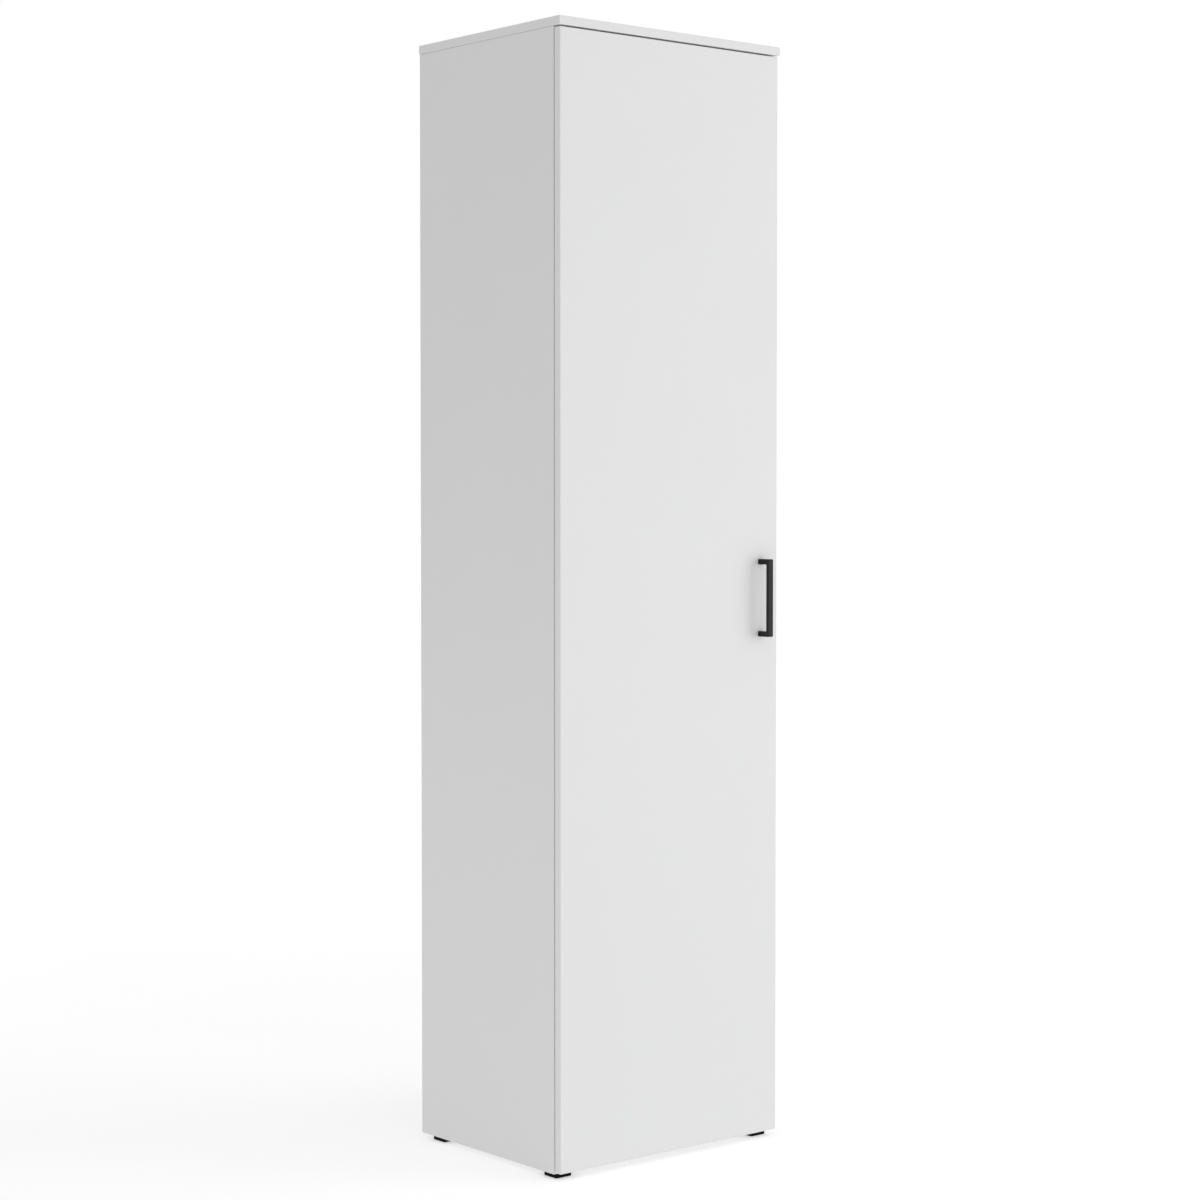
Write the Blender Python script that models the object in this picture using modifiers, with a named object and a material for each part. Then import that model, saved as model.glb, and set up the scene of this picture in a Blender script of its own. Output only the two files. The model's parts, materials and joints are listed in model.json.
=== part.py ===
# Storage cabinet: a tall flat-pack cabinet with one full-height door on four concealed hinges.
# Metres, +Z up. X runs to the right seen from the front, Y runs to the back, and the floor is z = 0.
# The origin is on the floor, in the middle of the cabinet's overall width and depth.
import math

import bmesh
import bpy
from mathutils import Matrix, Vector

# Driving sizes of the carcass
CARCASS_WIDTH = 0.500
SIDE_DEPTH = 0.378
SIDE_HEIGHT = 1.918
BOARD = 0.015
BACK_BOARD = 0.003
EDGE_CHAMFER = 0.0005
SEAT_GAP = 0.0003
CUT_OVERRUN = 0.004

# The top panel lies over the sides and reaches forward over the door
TOP_SIDE_LAP = 0.0007
TOP_FRONT_LAP = 0.0003
TOP_BACK_LAP = 0.0005

# The back panel slides in grooves
GROOVE_DEPTH = 0.006
GROOVE_SETBACK = 0.012
GROOVE_END_PLAY = 0.0005

# Feet
FOOT_WIDTH = 0.034
FOOT_HEIGHT = 0.0095
FOOT_CHAMFER = 0.0010
FOOT_SIDE_INSET = 0.0089
FOOT_FRONT_INSET = 0.0045
FOOT_BACK_INSET = 0.022

# Shelves and their pins
ADJUSTABLE_SHELVES_PER_HALF = 2
SHELF_SIDE_PLAY = 0.001
SHELF_FRONT_SETBACK = 0.020
SHELF_BACK_PLAY = 0.002
PIN_LINE_INSET = 0.037
PIN_PITCH = 0.032
PIN_SPARE_ROWS = 1
PIN_RADIUS = 0.0025
PIN_HEAD_RADIUS = 0.0035
PIN_IN_BOARD = 0.008
PIN_OUT = 0.0075
PIN_HOLE_DEPTH = 0.009

# Cam fittings of the fixed shelf
CAM_RADIUS = 0.0075
CAM_HEIGHT = 0.0125
CAM_FROM_END = 0.034
CAM_FROM_EDGE = 0.050

# Door, which covers the carcass between a reveal on each side
DOOR_RIGHT_REVEAL = 0.0045
DOOR_THICKNESS = 0.015
DOOR_GAP = 0.0025
DOOR_LEFT_REVEAL = 0.0005
DOOR_TOP_GAP = 0.003
DOOR_BOTTOM_LIFT = 0.0032

# Handle
HANDLE_LENGTH = 0.1374
HANDLE_HOLE_SPACING = 0.128
HANDLE_WIDTH = 0.0115
HANDLE_PROJECTION = 0.027
HANDLE_BAR = 0.006
HANDLE_CORNER = 0.0022
HANDLE_CHAMFER = 0.0006
HANDLE_FROM_FREE_EDGE = 0.0395
HANDLE_HEIGHT = 0.968
SCREW_RADIUS = 0.002
SCREW_HEAD_RADIUS = 0.0042
SCREW_HEAD = 0.002
SCREW_IN_HANDLE = 0.008

# Concealed hinges: cup in the door, arm on a mounting plate on the side panel
HINGE_HEIGHT_SHARES = (0.052, 0.36, 0.64, 0.948)
CUP_RADIUS = 0.0175
CUP_DEPTH = 0.0115
CUP_WALL = 0.001
CUP_RIM_PROUD = 0.0003
CUP_FROM_DOOR_EDGE = 0.003
FLANGE_LENGTH = 0.062
FLANGE_WIDTH = 0.022
FLANGE_PLATE = 0.001
FLANGE_SCREW_SPACING = 0.048
FLANGE_SCREW_RADIUS = 0.0035
FLANGE_SCREW_HEAD = 0.0006
HINGE_PIN_RADIUS = 0.0009
EYE_RADIUS = 0.002
LINK_BAR = 0.0026
LINK_WIDTH = 0.012
LINK_BOW = 0.0022
ARM_METAL = 0.0015
ARM_TOP_METAL = 0.0012
ARM_BACK = 0.062
ARM_NOSE_BACK = 0.008
ARM_NECK_BACK = 0.020
ARM_OFF_SIDE = 0.0045
PLATE_METAL = 0.002
PLATE_LENGTH = 0.052
PLATE_DEPTH = 0.030
PLATE_RAIL_BACK = 0.060
PLATE_RAIL_RISE = 0.0067
PLATE_RAIL_WIDTH = 0.012
PLATE_SCREW_SPACING = 0.032
PLATE_SCREW_RADIUS = 0.0042
PLATE_SCREW_HEAD = 0.0015

# The two pins of each hinge with the door closed, measured from the outer front corner of the side panel
ARM_PIN_IN = 0.0298
ARM_PIN_FORWARD = 0.0089
CUP_PIN_IN = 0.0116
CUP_PIN_FORWARD = 0.0081

# Small fittings
BUMPER_RADIUS = 0.004
BUMPER_TIP_RADIUS = 0.003
BUMPER_FROM_END = 0.060
BRACKET_METAL = 0.002
BRACKET_LEG = 0.030
BRACKET_WIDTH = 0.020
BRACKET_HOLE_RADIUS = 0.0025

# Sides of the round pieces
CUP_SIDES = 24
HOLE_SIDES = 10
SMALL_SIDES = 12
ARC_STEPS = 6
BOW_STEPS = 6

# Limits for welding points and for shading an edge smooth
WELD_DISTANCE = 0.000001
SMOOTH_ANGLE = math.radians(35)

# Places worked out from the sizes above
HALF_WIDTH = CARCASS_WIDTH / 2
INNER_WIDTH = CARCASS_WIDTH - 2 * BOARD
DOOR_FORWARD = DOOR_GAP + DOOR_THICKNESS
FRONT_REACH = DOOR_FORWARD + HANDLE_PROJECTION
BACK_REACH = SIDE_DEPTH + TOP_BACK_LAP
CARCASS_FRONT = -(BACK_REACH - FRONT_REACH) / 2
CARCASS_BACK = CARCASS_FRONT + SIDE_DEPTH
DOOR_BACK_FACE = CARCASS_FRONT - DOOR_GAP
DOOR_FRONT_FACE = CARCASS_FRONT - DOOR_FORWARD
SIDE_TOP = FOOT_HEIGHT + SIDE_HEIGHT
TOP_UNDERSIDE = SIDE_TOP + SEAT_GAP
DOOR_LEFT = -HALF_WIDTH + DOOR_LEFT_REVEAL
DOOR_RIGHT = HALF_WIDTH - DOOR_RIGHT_REVEAL
DOOR_BOTTOM = FOOT_HEIGHT + DOOR_BOTTOM_LIFT
DOOR_TOP = TOP_UNDERSIDE - DOOR_TOP_GAP
DOOR_HEIGHT = DOOR_TOP - DOOR_BOTTOM
GROOVE_WIDTH = BACK_BOARD + 2 * SEAT_GAP
GROOVE_BACK = CARCASS_BACK - GROOVE_SETBACK
GROOVE_FRONT = GROOVE_BACK - GROOVE_WIDTH
FLOOR_TOP = FOOT_HEIGHT + BOARD
FIXED_SHELF_BOTTOM = (FLOOR_TOP + SIDE_TOP - BOARD) / 2
HINGE_HEIGHTS = [DOOR_BOTTOM + share * DOOR_HEIGHT for share in HINGE_HEIGHT_SHARES]
HINGE_NAMES = ("bottom", "lower_middle", "upper_middle", "top")
ARM_PIN = Vector((-HALF_WIDTH + ARM_PIN_IN, CARCASS_FRONT - ARM_PIN_FORWARD, 0))
CUP_PIN = Vector((-HALF_WIDTH + CUP_PIN_IN, CARCASS_FRONT - CUP_PIN_FORWARD, 0))
CUP_CENTRE_X = DOOR_LEFT + CUP_FROM_DOOR_EDGE + CUP_RADIUS
HANDLE_X = DOOR_RIGHT - HANDLE_FROM_FREE_EDGE
HANDLE_LEG = HANDLE_LENGTH - HANDLE_HOLE_SPACING
ORIGIN = Vector((0, 0, 0))


# Scene and collections

def clear_scene():
    for obj in list(bpy.data.objects):
        bpy.data.objects.remove(obj, do_unlink=True)


def new_collection(name):
    collection = bpy.data.collections.new(name)
    bpy.context.scene.collection.children.link(collection)
    return collection


def new_empty(name, point, parent=None):
    """An empty that stands on a joint's axis and carries the pieces that turn about it."""
    empty = bpy.data.objects.new(name, None)
    parts.objects.link(empty)
    empty.parent = parent
    empty.location = point - (parent.location if parent else ORIGIN)
    return empty


# Materials

def material(name, colour, roughness, metallic=0.0):
    made = bpy.data.materials.new(name)
    made.use_nodes = True
    shader = made.node_tree.nodes["Principled BSDF"]
    shader.inputs["Base Color"].default_value = (*colour, 1.0)
    shader.inputs["Roughness"].default_value = roughness
    shader.inputs["Metallic"].default_value = metallic
    return made


# Building blocks

def object_from(bm, name):
    mesh = bpy.data.meshes.new(name)
    bm.to_mesh(mesh)
    bm.free()
    return bpy.data.objects.new(name, mesh)


def box(name, low, high):
    """A box between two corners, with its object at the box's centre."""
    low = Vector(low)
    high = Vector(high)
    bm = bmesh.new()
    bmesh.ops.create_cube(bm, size=1.0, matrix=Matrix.Diagonal((*(high - low), 1.0)))
    made = object_from(bm, name)
    made.location = (low + high) / 2
    return made


AXIS_TURNS = {
    "X": Matrix.Rotation(math.pi / 2, 4, "Y"),
    "Y": Matrix.Rotation(-math.pi / 2, 4, "X"),
    "Z": Matrix.Identity(4),
}


def cylinders(name, centres, radius, length, axis, sides):
    """Cylinders of one size along one axis, in one mesh at the world's origin."""
    bm = bmesh.new()
    for centre in centres:
        bmesh.ops.create_cone(
            bm,
            cap_ends=True,
            segments=sides,
            radius1=radius,
            radius2=radius,
            depth=length,
            matrix=Matrix.Translation(centre) @ AXIS_TURNS[axis],
        )
    return object_from(bm, name)


def turned(name, profile, sides):
    """A profile of (radius, height) points, top to bottom, turned about Z."""
    mesh = bpy.data.meshes.new(name)
    points = [(radius, 0, height) for radius, height in profile]
    mesh.from_pydata(points, [(i, i + 1) for i in range(len(points) - 1)], [])
    made = bpy.data.objects.new(name, mesh)
    screw = made.modifiers.new("turn", "SCREW")
    screw.axis = "Z"
    screw.steps = sides
    screw.render_steps = sides
    screw.use_merge_vertices = True
    screw.merge_threshold = WELD_DISTANCE
    return made


def arc(centre, radius, start, end, steps):
    """Points along an arc in a plane, from one angle to another, in radians."""
    angles = [start + (end - start) * step / steps for step in range(steps + 1)]
    return [(centre[0] + radius * math.cos(a), centre[1] + radius * math.sin(a)) for a in angles]


def extruded(name, outline, thickness):
    """A flat outline in X and Y as a filled 2D curve, given a thickness along Z, then made a mesh."""
    curve = bpy.data.curves.new(name, "CURVE")
    curve.dimensions = "2D"
    curve.fill_mode = "BOTH"
    curve.extrude = thickness / 2
    spline = curve.splines.new("POLY")
    spline.points.add(len(outline) - 1)
    for point, place in zip(spline.points, outline):
        point.co = (*place, 0, 1)
    spline.use_cyclic_u = True
    drawn = bpy.data.objects.new(name, curve)
    parts.objects.link(drawn)
    graph = bpy.context.evaluated_depsgraph_get()
    mesh = bpy.data.meshes.new_from_object(drawn.evaluated_get(graph))
    bpy.data.objects.remove(drawn, do_unlink=True)
    bm = bmesh.new()
    bm.from_mesh(mesh)
    bmesh.ops.remove_doubles(bm, verts=bm.verts, dist=WELD_DISTANCE)
    bmesh.ops.recalc_face_normals(bm, faces=bm.faces)
    bm.to_mesh(mesh)
    bm.free()
    return bpy.data.objects.new(name, mesh)


def chamfer(obj, width, segments=1):
    bevel = obj.modifiers.new("edge", "BEVEL")
    bevel.width = width
    bevel.segments = segments
    bevel.limit_method = "ANGLE"


def boolean(obj, other, operation):
    """Cuts or joins another shape, kept in the cutters' collection."""
    cutters.objects.link(other)
    other.hide_render = True
    other.display_type = "WIRE"
    change = obj.modifiers.new(operation.lower(), "BOOLEAN")
    change.operation = operation
    change.solver = "EXACT"
    change.object = other


def cut(obj, cutter):
    boolean(obj, cutter, "DIFFERENCE")


def join(obj, other):
    boolean(obj, other, "UNION")


def add(obj, finish, parent):
    """Puts a piece in the cabinet, carried by a parent, with its place in the world unchanged."""
    parts.objects.link(obj)
    obj.data.materials.clear()
    obj.data.materials.append(finish)
    carrier = parent.parent.location + parent.location if parent.parent else parent.location
    obj.location = obj.location - carrier
    obj.parent = parent
    return obj


def smooth(obj):
    obj.data.shade_smooth()
    obj.data.set_sharp_from_angle(angle=SMOOTH_ANGLE)


# Where the shelves and their pins lie

def half_bays():
    """The clear heights below and above the fixed shelf."""
    return (
        (FLOOR_TOP, FIXED_SHELF_BOTTOM),
        (FIXED_SHELF_BOTTOM + BOARD, SIDE_TOP),
    )


def adjustable_shelf_bottoms():
    """The undersides of the adjustable shelves, which share each half evenly."""
    count = ADJUSTABLE_SHELVES_PER_HALF
    bottoms = []
    for low, high in half_bays():
        clear = (high - low - count * BOARD) / (count + 1)
        bottoms += [low + clear + i * (clear + BOARD) for i in range(count)]
    return bottoms


def pin_axis_height(shelf_bottom):
    return shelf_bottom - SEAT_GAP - PIN_HEAD_RADIUS


def pin_lines():
    """The front and back lines of pin holes, as places along Y."""
    return {
        "front": CARCASS_FRONT + PIN_LINE_INSET,
        "back": GROOVE_FRONT - PIN_LINE_INSET,
    }


def pin_hole_places(inner_face):
    places = []
    for bottom in adjustable_shelf_bottoms():
        for row in range(-PIN_SPARE_ROWS, PIN_SPARE_ROWS + 1):
            height = pin_axis_height(bottom) + row * PIN_PITCH
            places += [(inner_face, y, height) for y in pin_lines().values()]
    return places


# Carcass boards

def side_panel(name, side):
    """A side panel; side is -1 on the left and 1 on the right."""
    outer = side * HALF_WIDTH
    inner = side * (HALF_WIDTH - BOARD)
    panel = box(
        name,
        (min(outer, inner), CARCASS_FRONT, FOOT_HEIGHT),
        (max(outer, inner), CARCASS_BACK, SIDE_TOP),
    )
    chamfer(panel, EDGE_CHAMFER)
    groove_bottom = inner + side * GROOVE_DEPTH
    mouth = inner - side * CUT_OVERRUN
    cut(panel, box(
        name + "_groove_cutter",
        (min(groove_bottom, mouth), GROOVE_FRONT, FOOT_HEIGHT - CUT_OVERRUN),
        (max(groove_bottom, mouth), GROOVE_BACK, SIDE_TOP + CUT_OVERRUN),
    ))
    holes = pin_hole_places(inner)
    cut(panel, cylinders(
        name + "_pin_hole_cutters",
        holes,
        PIN_RADIUS + SEAT_GAP,
        2 * PIN_HOLE_DEPTH,
        "X",
        HOLE_SIDES,
    ))
    return add(panel, white_board, cabinet)


def top_panel():
    reach = HALF_WIDTH + TOP_SIDE_LAP
    panel = box(
        "top_panel",
        (-reach, DOOR_FRONT_FACE - TOP_FRONT_LAP, TOP_UNDERSIDE),
        (reach, CARCASS_BACK + TOP_BACK_LAP, TOP_UNDERSIDE + BOARD),
    )
    chamfer(panel, EDGE_CHAMFER)
    half_groove = INNER_WIDTH / 2 + GROOVE_DEPTH
    cut(panel, box(
        "top_panel_groove_cutter",
        (-half_groove, GROOVE_FRONT, TOP_UNDERSIDE - CUT_OVERRUN),
        (half_groove, GROOVE_BACK, TOP_UNDERSIDE + GROOVE_DEPTH),
    ))
    return add(panel, white_board, cabinet)


def cross_board(name, bottom, front_setback=0.0, side_play=SEAT_GAP, back_play=SEAT_GAP):
    """A board that lies between the side panels, in front of the back panel."""
    half = INNER_WIDTH / 2 - side_play
    board = box(
        name,
        (-half, CARCASS_FRONT + front_setback, bottom),
        (half, GROOVE_FRONT - back_play, bottom + BOARD),
    )
    chamfer(board, EDGE_CHAMFER)
    return add(board, white_board, cabinet)


def back_panel():
    half = INNER_WIDTH / 2 + GROOVE_DEPTH - GROOVE_END_PLAY
    panel = box(
        "back_panel",
        (-half, GROOVE_FRONT + SEAT_GAP, FOOT_HEIGHT + GROOVE_END_PLAY),
        (half, GROOVE_BACK - SEAT_GAP, TOP_UNDERSIDE + GROOVE_DEPTH - GROOVE_END_PLAY),
    )
    return add(panel, white_back, cabinet)


# Fixed shelf and its cam fittings

def cam_places():
    """The cams' centres under the fixed shelf, by name."""
    half = INNER_WIDTH / 2 - CAM_FROM_END
    front = CARCASS_FRONT + CAM_FROM_EDGE
    back = GROOVE_FRONT - CAM_FROM_EDGE
    return {
        "left_front": (-half, front),
        "left_back": (-half, back),
        "right_front": (half, front),
        "right_back": (half, back),
    }


def fixed_shelf():
    shelf = cross_board("fixed_shelf", FIXED_SHELF_BOTTOM)
    pocket_top = FIXED_SHELF_BOTTOM + CAM_HEIGHT + SEAT_GAP
    pocket = pocket_top - FIXED_SHELF_BOTTOM + CUT_OVERRUN
    centres = [(x, y, pocket_top - pocket / 2) for x, y in cam_places().values()]
    cut(shelf, cylinders(
        "fixed_shelf_cam_pocket_cutters", centres, CAM_RADIUS + SEAT_GAP, pocket, "Z", SMALL_SIDES
    ))
    for name, (x, y) in cam_places().items():
        cam = cylinders("shelf_cam_" + name, [ORIGIN], CAM_RADIUS, CAM_HEIGHT, "Z", SMALL_SIDES)
        cam.location = (x, y, FIXED_SHELF_BOTTOM + CAM_HEIGHT / 2)
        smooth(cam)
        add(cam, zinc, cabinet)


# Adjustable shelves and their pins

def shelf_pin(name, side, y, height):
    """A pin: a thin end in the side panel, and a thicker end that the shelf lies on."""
    pin = turned(
        name,
        [
            (0, PIN_OUT),
            (PIN_HEAD_RADIUS, PIN_OUT),
            (PIN_HEAD_RADIUS, SEAT_GAP),
            (PIN_RADIUS, SEAT_GAP),
            (PIN_RADIUS, -PIN_IN_BOARD),
            (0, -PIN_IN_BOARD),
        ],
        SMALL_SIDES,
    )
    pin.rotation_euler = (0, -side * math.pi / 2, 0)
    pin.location = (side * INNER_WIDTH / 2, y, height)
    smooth(pin)
    return add(pin, nickel, cabinet)


def adjustable_shelves():
    for number, bottom in enumerate(adjustable_shelf_bottoms(), start=1):
        cross_board(
            f"adjustable_shelf_{number}",
            bottom,
            front_setback=SHELF_FRONT_SETBACK,
            side_play=SHELF_SIDE_PLAY,
            back_play=SHELF_BACK_PLAY,
        )
        for side_name, side in (("left", -1), ("right", 1)):
            for line_name, y in pin_lines().items():
                name = f"shelf_{number}_pin_{side_name}_{line_name}"
                shelf_pin(name, side, y, pin_axis_height(bottom))


# Feet

def feet():
    half = HALF_WIDTH - FOOT_SIDE_INSET
    fronts = {
        "front": CARCASS_FRONT + FOOT_FRONT_INSET,
        "back": CARCASS_BACK - FOOT_BACK_INSET - FOOT_WIDTH,
    }
    for line_name, front in fronts.items():
        for side_name, left in (("left", -half), ("right", half - FOOT_WIDTH)):
            foot = box(
                f"foot_{line_name}_{side_name}",
                (left, front, 0),
                (left + FOOT_WIDTH, front + FOOT_WIDTH, FOOT_HEIGHT - SEAT_GAP),
            )
            chamfer(foot, FOOT_CHAMFER)
            add(foot, black_plastic, cabinet)


# Door

def door_panel():
    panel = box(
        "door_panel",
        (DOOR_LEFT, DOOR_FRONT_FACE, DOOR_BOTTOM),
        (DOOR_RIGHT, DOOR_BACK_FACE, DOOR_TOP),
    )
    chamfer(panel, EDGE_CHAMFER)
    bore = CUP_DEPTH + SEAT_GAP + CUT_OVERRUN
    bore_middle = DOOR_BACK_FACE - CUP_DEPTH - SEAT_GAP + bore / 2
    cups = [(CUP_CENTRE_X, bore_middle, height) for height in HINGE_HEIGHTS]
    cut(panel, cylinders("door_cup_bore_cutters", cups, CUP_RADIUS + SEAT_GAP, bore, "Y", CUP_SIDES))
    middle = (DOOR_BACK_FACE + DOOR_FRONT_FACE) / 2
    holes = [(HANDLE_X, middle, height) for height in handle_screw_heights()]
    through = DOOR_THICKNESS + 2 * CUT_OVERRUN
    cut(panel, cylinders(
        "door_screw_hole_cutters", holes, SCREW_RADIUS + SEAT_GAP, through, "Y", SMALL_SIDES
    ))
    return add(panel, white_board, door_swing)


# Handle and its screws

def handle_screw_heights():
    half = HANDLE_HOLE_SPACING / 2
    return (HANDLE_HEIGHT - half, HANDLE_HEIGHT + half)


def handle_outline():
    """The side view of the handle: X is the reach from the door, Y is the height from its middle."""
    half = HANDLE_LENGTH / 2
    front = HANDLE_PROJECTION
    inner = HANDLE_PROJECTION - HANDLE_BAR
    corner = HANDLE_CORNER
    right = math.pi / 2
    outer = arc((front - corner, half - corner), corner, right, 0, ARC_STEPS)
    fillet_centre = (inner - corner, half - HANDLE_LEG - corner)
    upper = [(SEAT_GAP, half)] + outer
    lower = [(x, -y) for x, y in reversed(upper)]
    inside_lower = [(x, -y) for x, y in arc(fillet_centre, corner, 0, right, ARC_STEPS)]
    inside_upper = arc(fillet_centre, corner, right, 0, ARC_STEPS)
    inside = (
        [(SEAT_GAP, -half + HANDLE_LEG)]
        + list(reversed(inside_lower))
        + list(reversed(inside_upper))
        + [(SEAT_GAP, half - HANDLE_LEG)]
    )
    return upper + lower + inside


def handle():
    """The handle, with a blind hole in the foot of each leg."""
    made = extruded("handle", handle_outline(), HANDLE_WIDTH)
    # The outline's X turns to the door's front and its Y to the height.
    made.data.transform(Matrix(((0, 0, 1, 0), (-1, 0, 0, 0), (0, 1, 0, 0), (0, 0, 0, 1))))
    made.location = (HANDLE_X, DOOR_FRONT_FACE, HANDLE_HEIGHT)
    chamfer(made, HANDLE_CHAMFER)
    depth = SCREW_IN_HANDLE + 2 * SEAT_GAP
    centres = [(HANDLE_X, DOOR_FRONT_FACE - depth / 2 + SEAT_GAP, z) for z in handle_screw_heights()]
    cut(made, cylinders(
        "handle_screw_hole_cutters", centres, SCREW_RADIUS + SEAT_GAP, depth + 2 * SEAT_GAP, "Y",
        SMALL_SIDES,
    ))
    return add(made, black_metal, door_swing)


def handle_screws():
    """Screws that go from inside the door into the handle's legs."""
    shank = SEAT_GAP + DOOR_THICKNESS + SCREW_IN_HANDLE
    for name, height in zip(("lower", "upper"), handle_screw_heights()):
        screw = turned(
            f"handle_screw_{name}",
            [
                (0, SCREW_HEAD),
                (SCREW_HEAD_RADIUS, SCREW_HEAD),
                (SCREW_HEAD_RADIUS, 0),
                (SCREW_RADIUS, 0),
                (SCREW_RADIUS, -shank),
                (0, -shank),
            ],
            SMALL_SIDES,
        )
        screw.rotation_euler = (-math.pi / 2, 0, 0)
        screw.location = (HANDLE_X, DOOR_BACK_FACE + SEAT_GAP, height)
        smooth(screw)
        add(screw, zinc, door_swing)


# Hinges

def hinge_cup(name, height):
    """The cup in its bore, with the flange on the door's back face and the pin across the cup."""
    floor = DOOR_BACK_FACE - CUP_DEPTH
    mouth = DOOR_BACK_FACE + SEAT_GAP
    rim = mouth + FLANGE_PLATE + CUP_RIM_PROUD
    cup = cylinders(name, [ORIGIN], CUP_RADIUS, rim - floor, "Y", CUP_SIDES)
    cup.location = (CUP_CENTRE_X, (floor + rim) / 2, height)
    join(cup, box(
        name + "_flange",
        (CUP_CENTRE_X - FLANGE_WIDTH / 2, mouth, height - FLANGE_LENGTH / 2),
        (CUP_CENTRE_X + FLANGE_WIDTH / 2, mouth + FLANGE_PLATE, height + FLANGE_LENGTH / 2),
    ))
    spacing = FLANGE_SCREW_SPACING / 2
    screw_y = mouth + FLANGE_PLATE
    join(cup, cylinders(
        name + "_screws",
        [(CUP_CENTRE_X, screw_y, height - spacing), (CUP_CENTRE_X, screw_y, height + spacing)],
        FLANGE_SCREW_RADIUS,
        2 * FLANGE_SCREW_HEAD,
        "Y",
        SMALL_SIDES,
    ))
    hollow_floor = floor + CUP_WALL
    hollow = rim + CUT_OVERRUN - hollow_floor
    cut(cup, cylinders(
        name + "_hollow_cutter",
        [(CUP_CENTRE_X, hollow_floor + hollow / 2, height)],
        CUP_RADIUS - CUP_WALL,
        hollow,
        "Y",
        CUP_SIDES,
    ))
    far_side = CUP_CENTRE_X - CUP_PIN.x + HINGE_PIN_RADIUS
    half_pin = math.sqrt((CUP_RADIUS - SEAT_GAP) ** 2 - far_side ** 2)
    join(cup, cylinders(
        name + "_pin",
        [(CUP_PIN.x, CUP_PIN.y, height)],
        HINGE_PIN_RADIUS,
        2 * half_pin,
        "Z",
        SMALL_SIDES,
    ))
    return add(cup, nickel, door_swing)


def link_outline(length):
    """A bowed bar from the arm pin at 0 to the cup pin, with a round eye at each end.

    The bow bends the bar deeper into the cup, which keeps it off the cup's rim when the door is open.
    """
    half_bar = LINK_BAR / 2
    open_angle = math.asin(half_bar / EYE_RADIUS)
    near = arc((0, 0), EYE_RADIUS, open_angle, 2 * math.pi - open_angle, 2 * ARC_STEPS)
    far = arc((length, 0), EYE_RADIUS, math.pi + open_angle, 3 * math.pi - open_angle, 2 * ARC_STEPS)
    start = EYE_RADIUS * math.cos(open_angle)
    shares = [step / BOW_STEPS for step in range(1, BOW_STEPS)]
    bowed = [
        (start + share * (length - 2 * start), LINK_BOW * (1 - (2 * share - 1) ** 2))
        for share in shares
    ]
    lower = [(x, y - half_bar) for x, y in bowed]
    upper = [(x, y + half_bar) for x, y in reversed(bowed)]
    return near + lower + far + upper


def hinge_link(name, height):
    """The link between the arm's pin and the cup's pin."""
    reach = CUP_PIN - ARM_PIN
    link = extruded(name, link_outline(reach.length), LINK_WIDTH)
    turn = math.atan2(reach.y, reach.x)
    link.data.transform(Matrix.Rotation(turn, 4, "Z"))
    link.location = (ARM_PIN.x, ARM_PIN.y, height)
    eyes = [(pin.x, pin.y, height) for pin in (ARM_PIN, CUP_PIN)]
    cut(link, cylinders(
        name + "_eye_cutters",
        eyes,
        HINGE_PIN_RADIUS + SEAT_GAP,
        LINK_WIDTH + 2 * CUT_OVERRUN,
        "Z",
        SMALL_SIDES,
    ))
    return add(link, nickel, link_swing)


def arm_outline():
    """The arm from above: a low back part on the plate, and a nose that reaches the arm pin."""
    near = EYE_RADIUS + SEAT_GAP
    top = ARM_PIN.x + near + ARM_TOP_METAL
    nose_left = ARM_PIN.x - near
    nose_front = ARM_PIN.y - near
    low = -INNER_WIDTH / 2 + ARM_OFF_SIDE
    back = CARCASS_FRONT + ARM_BACK
    return [
        (top, back),
        (low, back),
        (low, CARCASS_FRONT + ARM_NECK_BACK),
        (nose_left, CARCASS_FRONT + ARM_NOSE_BACK),
        (nose_left, nose_front + near),
        (nose_left + near / 2, nose_front),
        (top - near, nose_front),
        (top, nose_front + near),
    ]


def hinge_arm(name, height):
    """A channel that is open towards the side panel, with the arm pin across its nose."""
    inside = LINK_WIDTH / 2 + SEAT_GAP
    outside = inside + ARM_METAL
    arm = extruded(name, arm_outline(), 2 * outside)
    arm.location = (0, 0, height)
    channel_top = ARM_PIN.x + EYE_RADIUS + SEAT_GAP
    cut(arm, box(
        name + "_channel_cutter",
        (-HALF_WIDTH, CARCASS_FRONT - ARM_PIN_FORWARD - CUP_RADIUS, height - inside),
        (channel_top, CARCASS_FRONT + ARM_BACK + CUT_OVERRUN, height + inside),
    ))
    join(arm, cylinders(
        name + "_pin",
        [(ARM_PIN.x, ARM_PIN.y, height)],
        HINGE_PIN_RADIUS,
        2 * inside + ARM_METAL,
        "Z",
        SMALL_SIDES,
    ))
    return add(arm, nickel, cabinet)


def hinge_plate(name, height):
    """The mounting plate on the side panel, with the rail that the arm sits over and two screw heads."""
    face = -INNER_WIDTH / 2 + SEAT_GAP
    line = CARCASS_FRONT + PIN_LINE_INSET
    plate = box(
        name,
        (face, line - PLATE_DEPTH / 2, height - PLATE_LENGTH / 2),
        (face + PLATE_METAL, line + PLATE_DEPTH / 2, height + PLATE_LENGTH / 2),
    )
    join(plate, box(
        name + "_rail",
        (face, line - PLATE_DEPTH / 2, height - PLATE_RAIL_WIDTH / 2),
        (face + PLATE_METAL + PLATE_RAIL_RISE, CARCASS_FRONT + PLATE_RAIL_BACK,
         height + PLATE_RAIL_WIDTH / 2),
    ))
    spacing = PLATE_SCREW_SPACING / 2
    join(plate, cylinders(
        name + "_screws",
        [(face + PLATE_METAL, line, height - spacing), (face + PLATE_METAL, line, height + spacing)],
        PLATE_SCREW_RADIUS,
        2 * PLATE_SCREW_HEAD,
        "X",
        SMALL_SIDES,
    ))
    return add(plate, nickel, cabinet)


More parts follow.
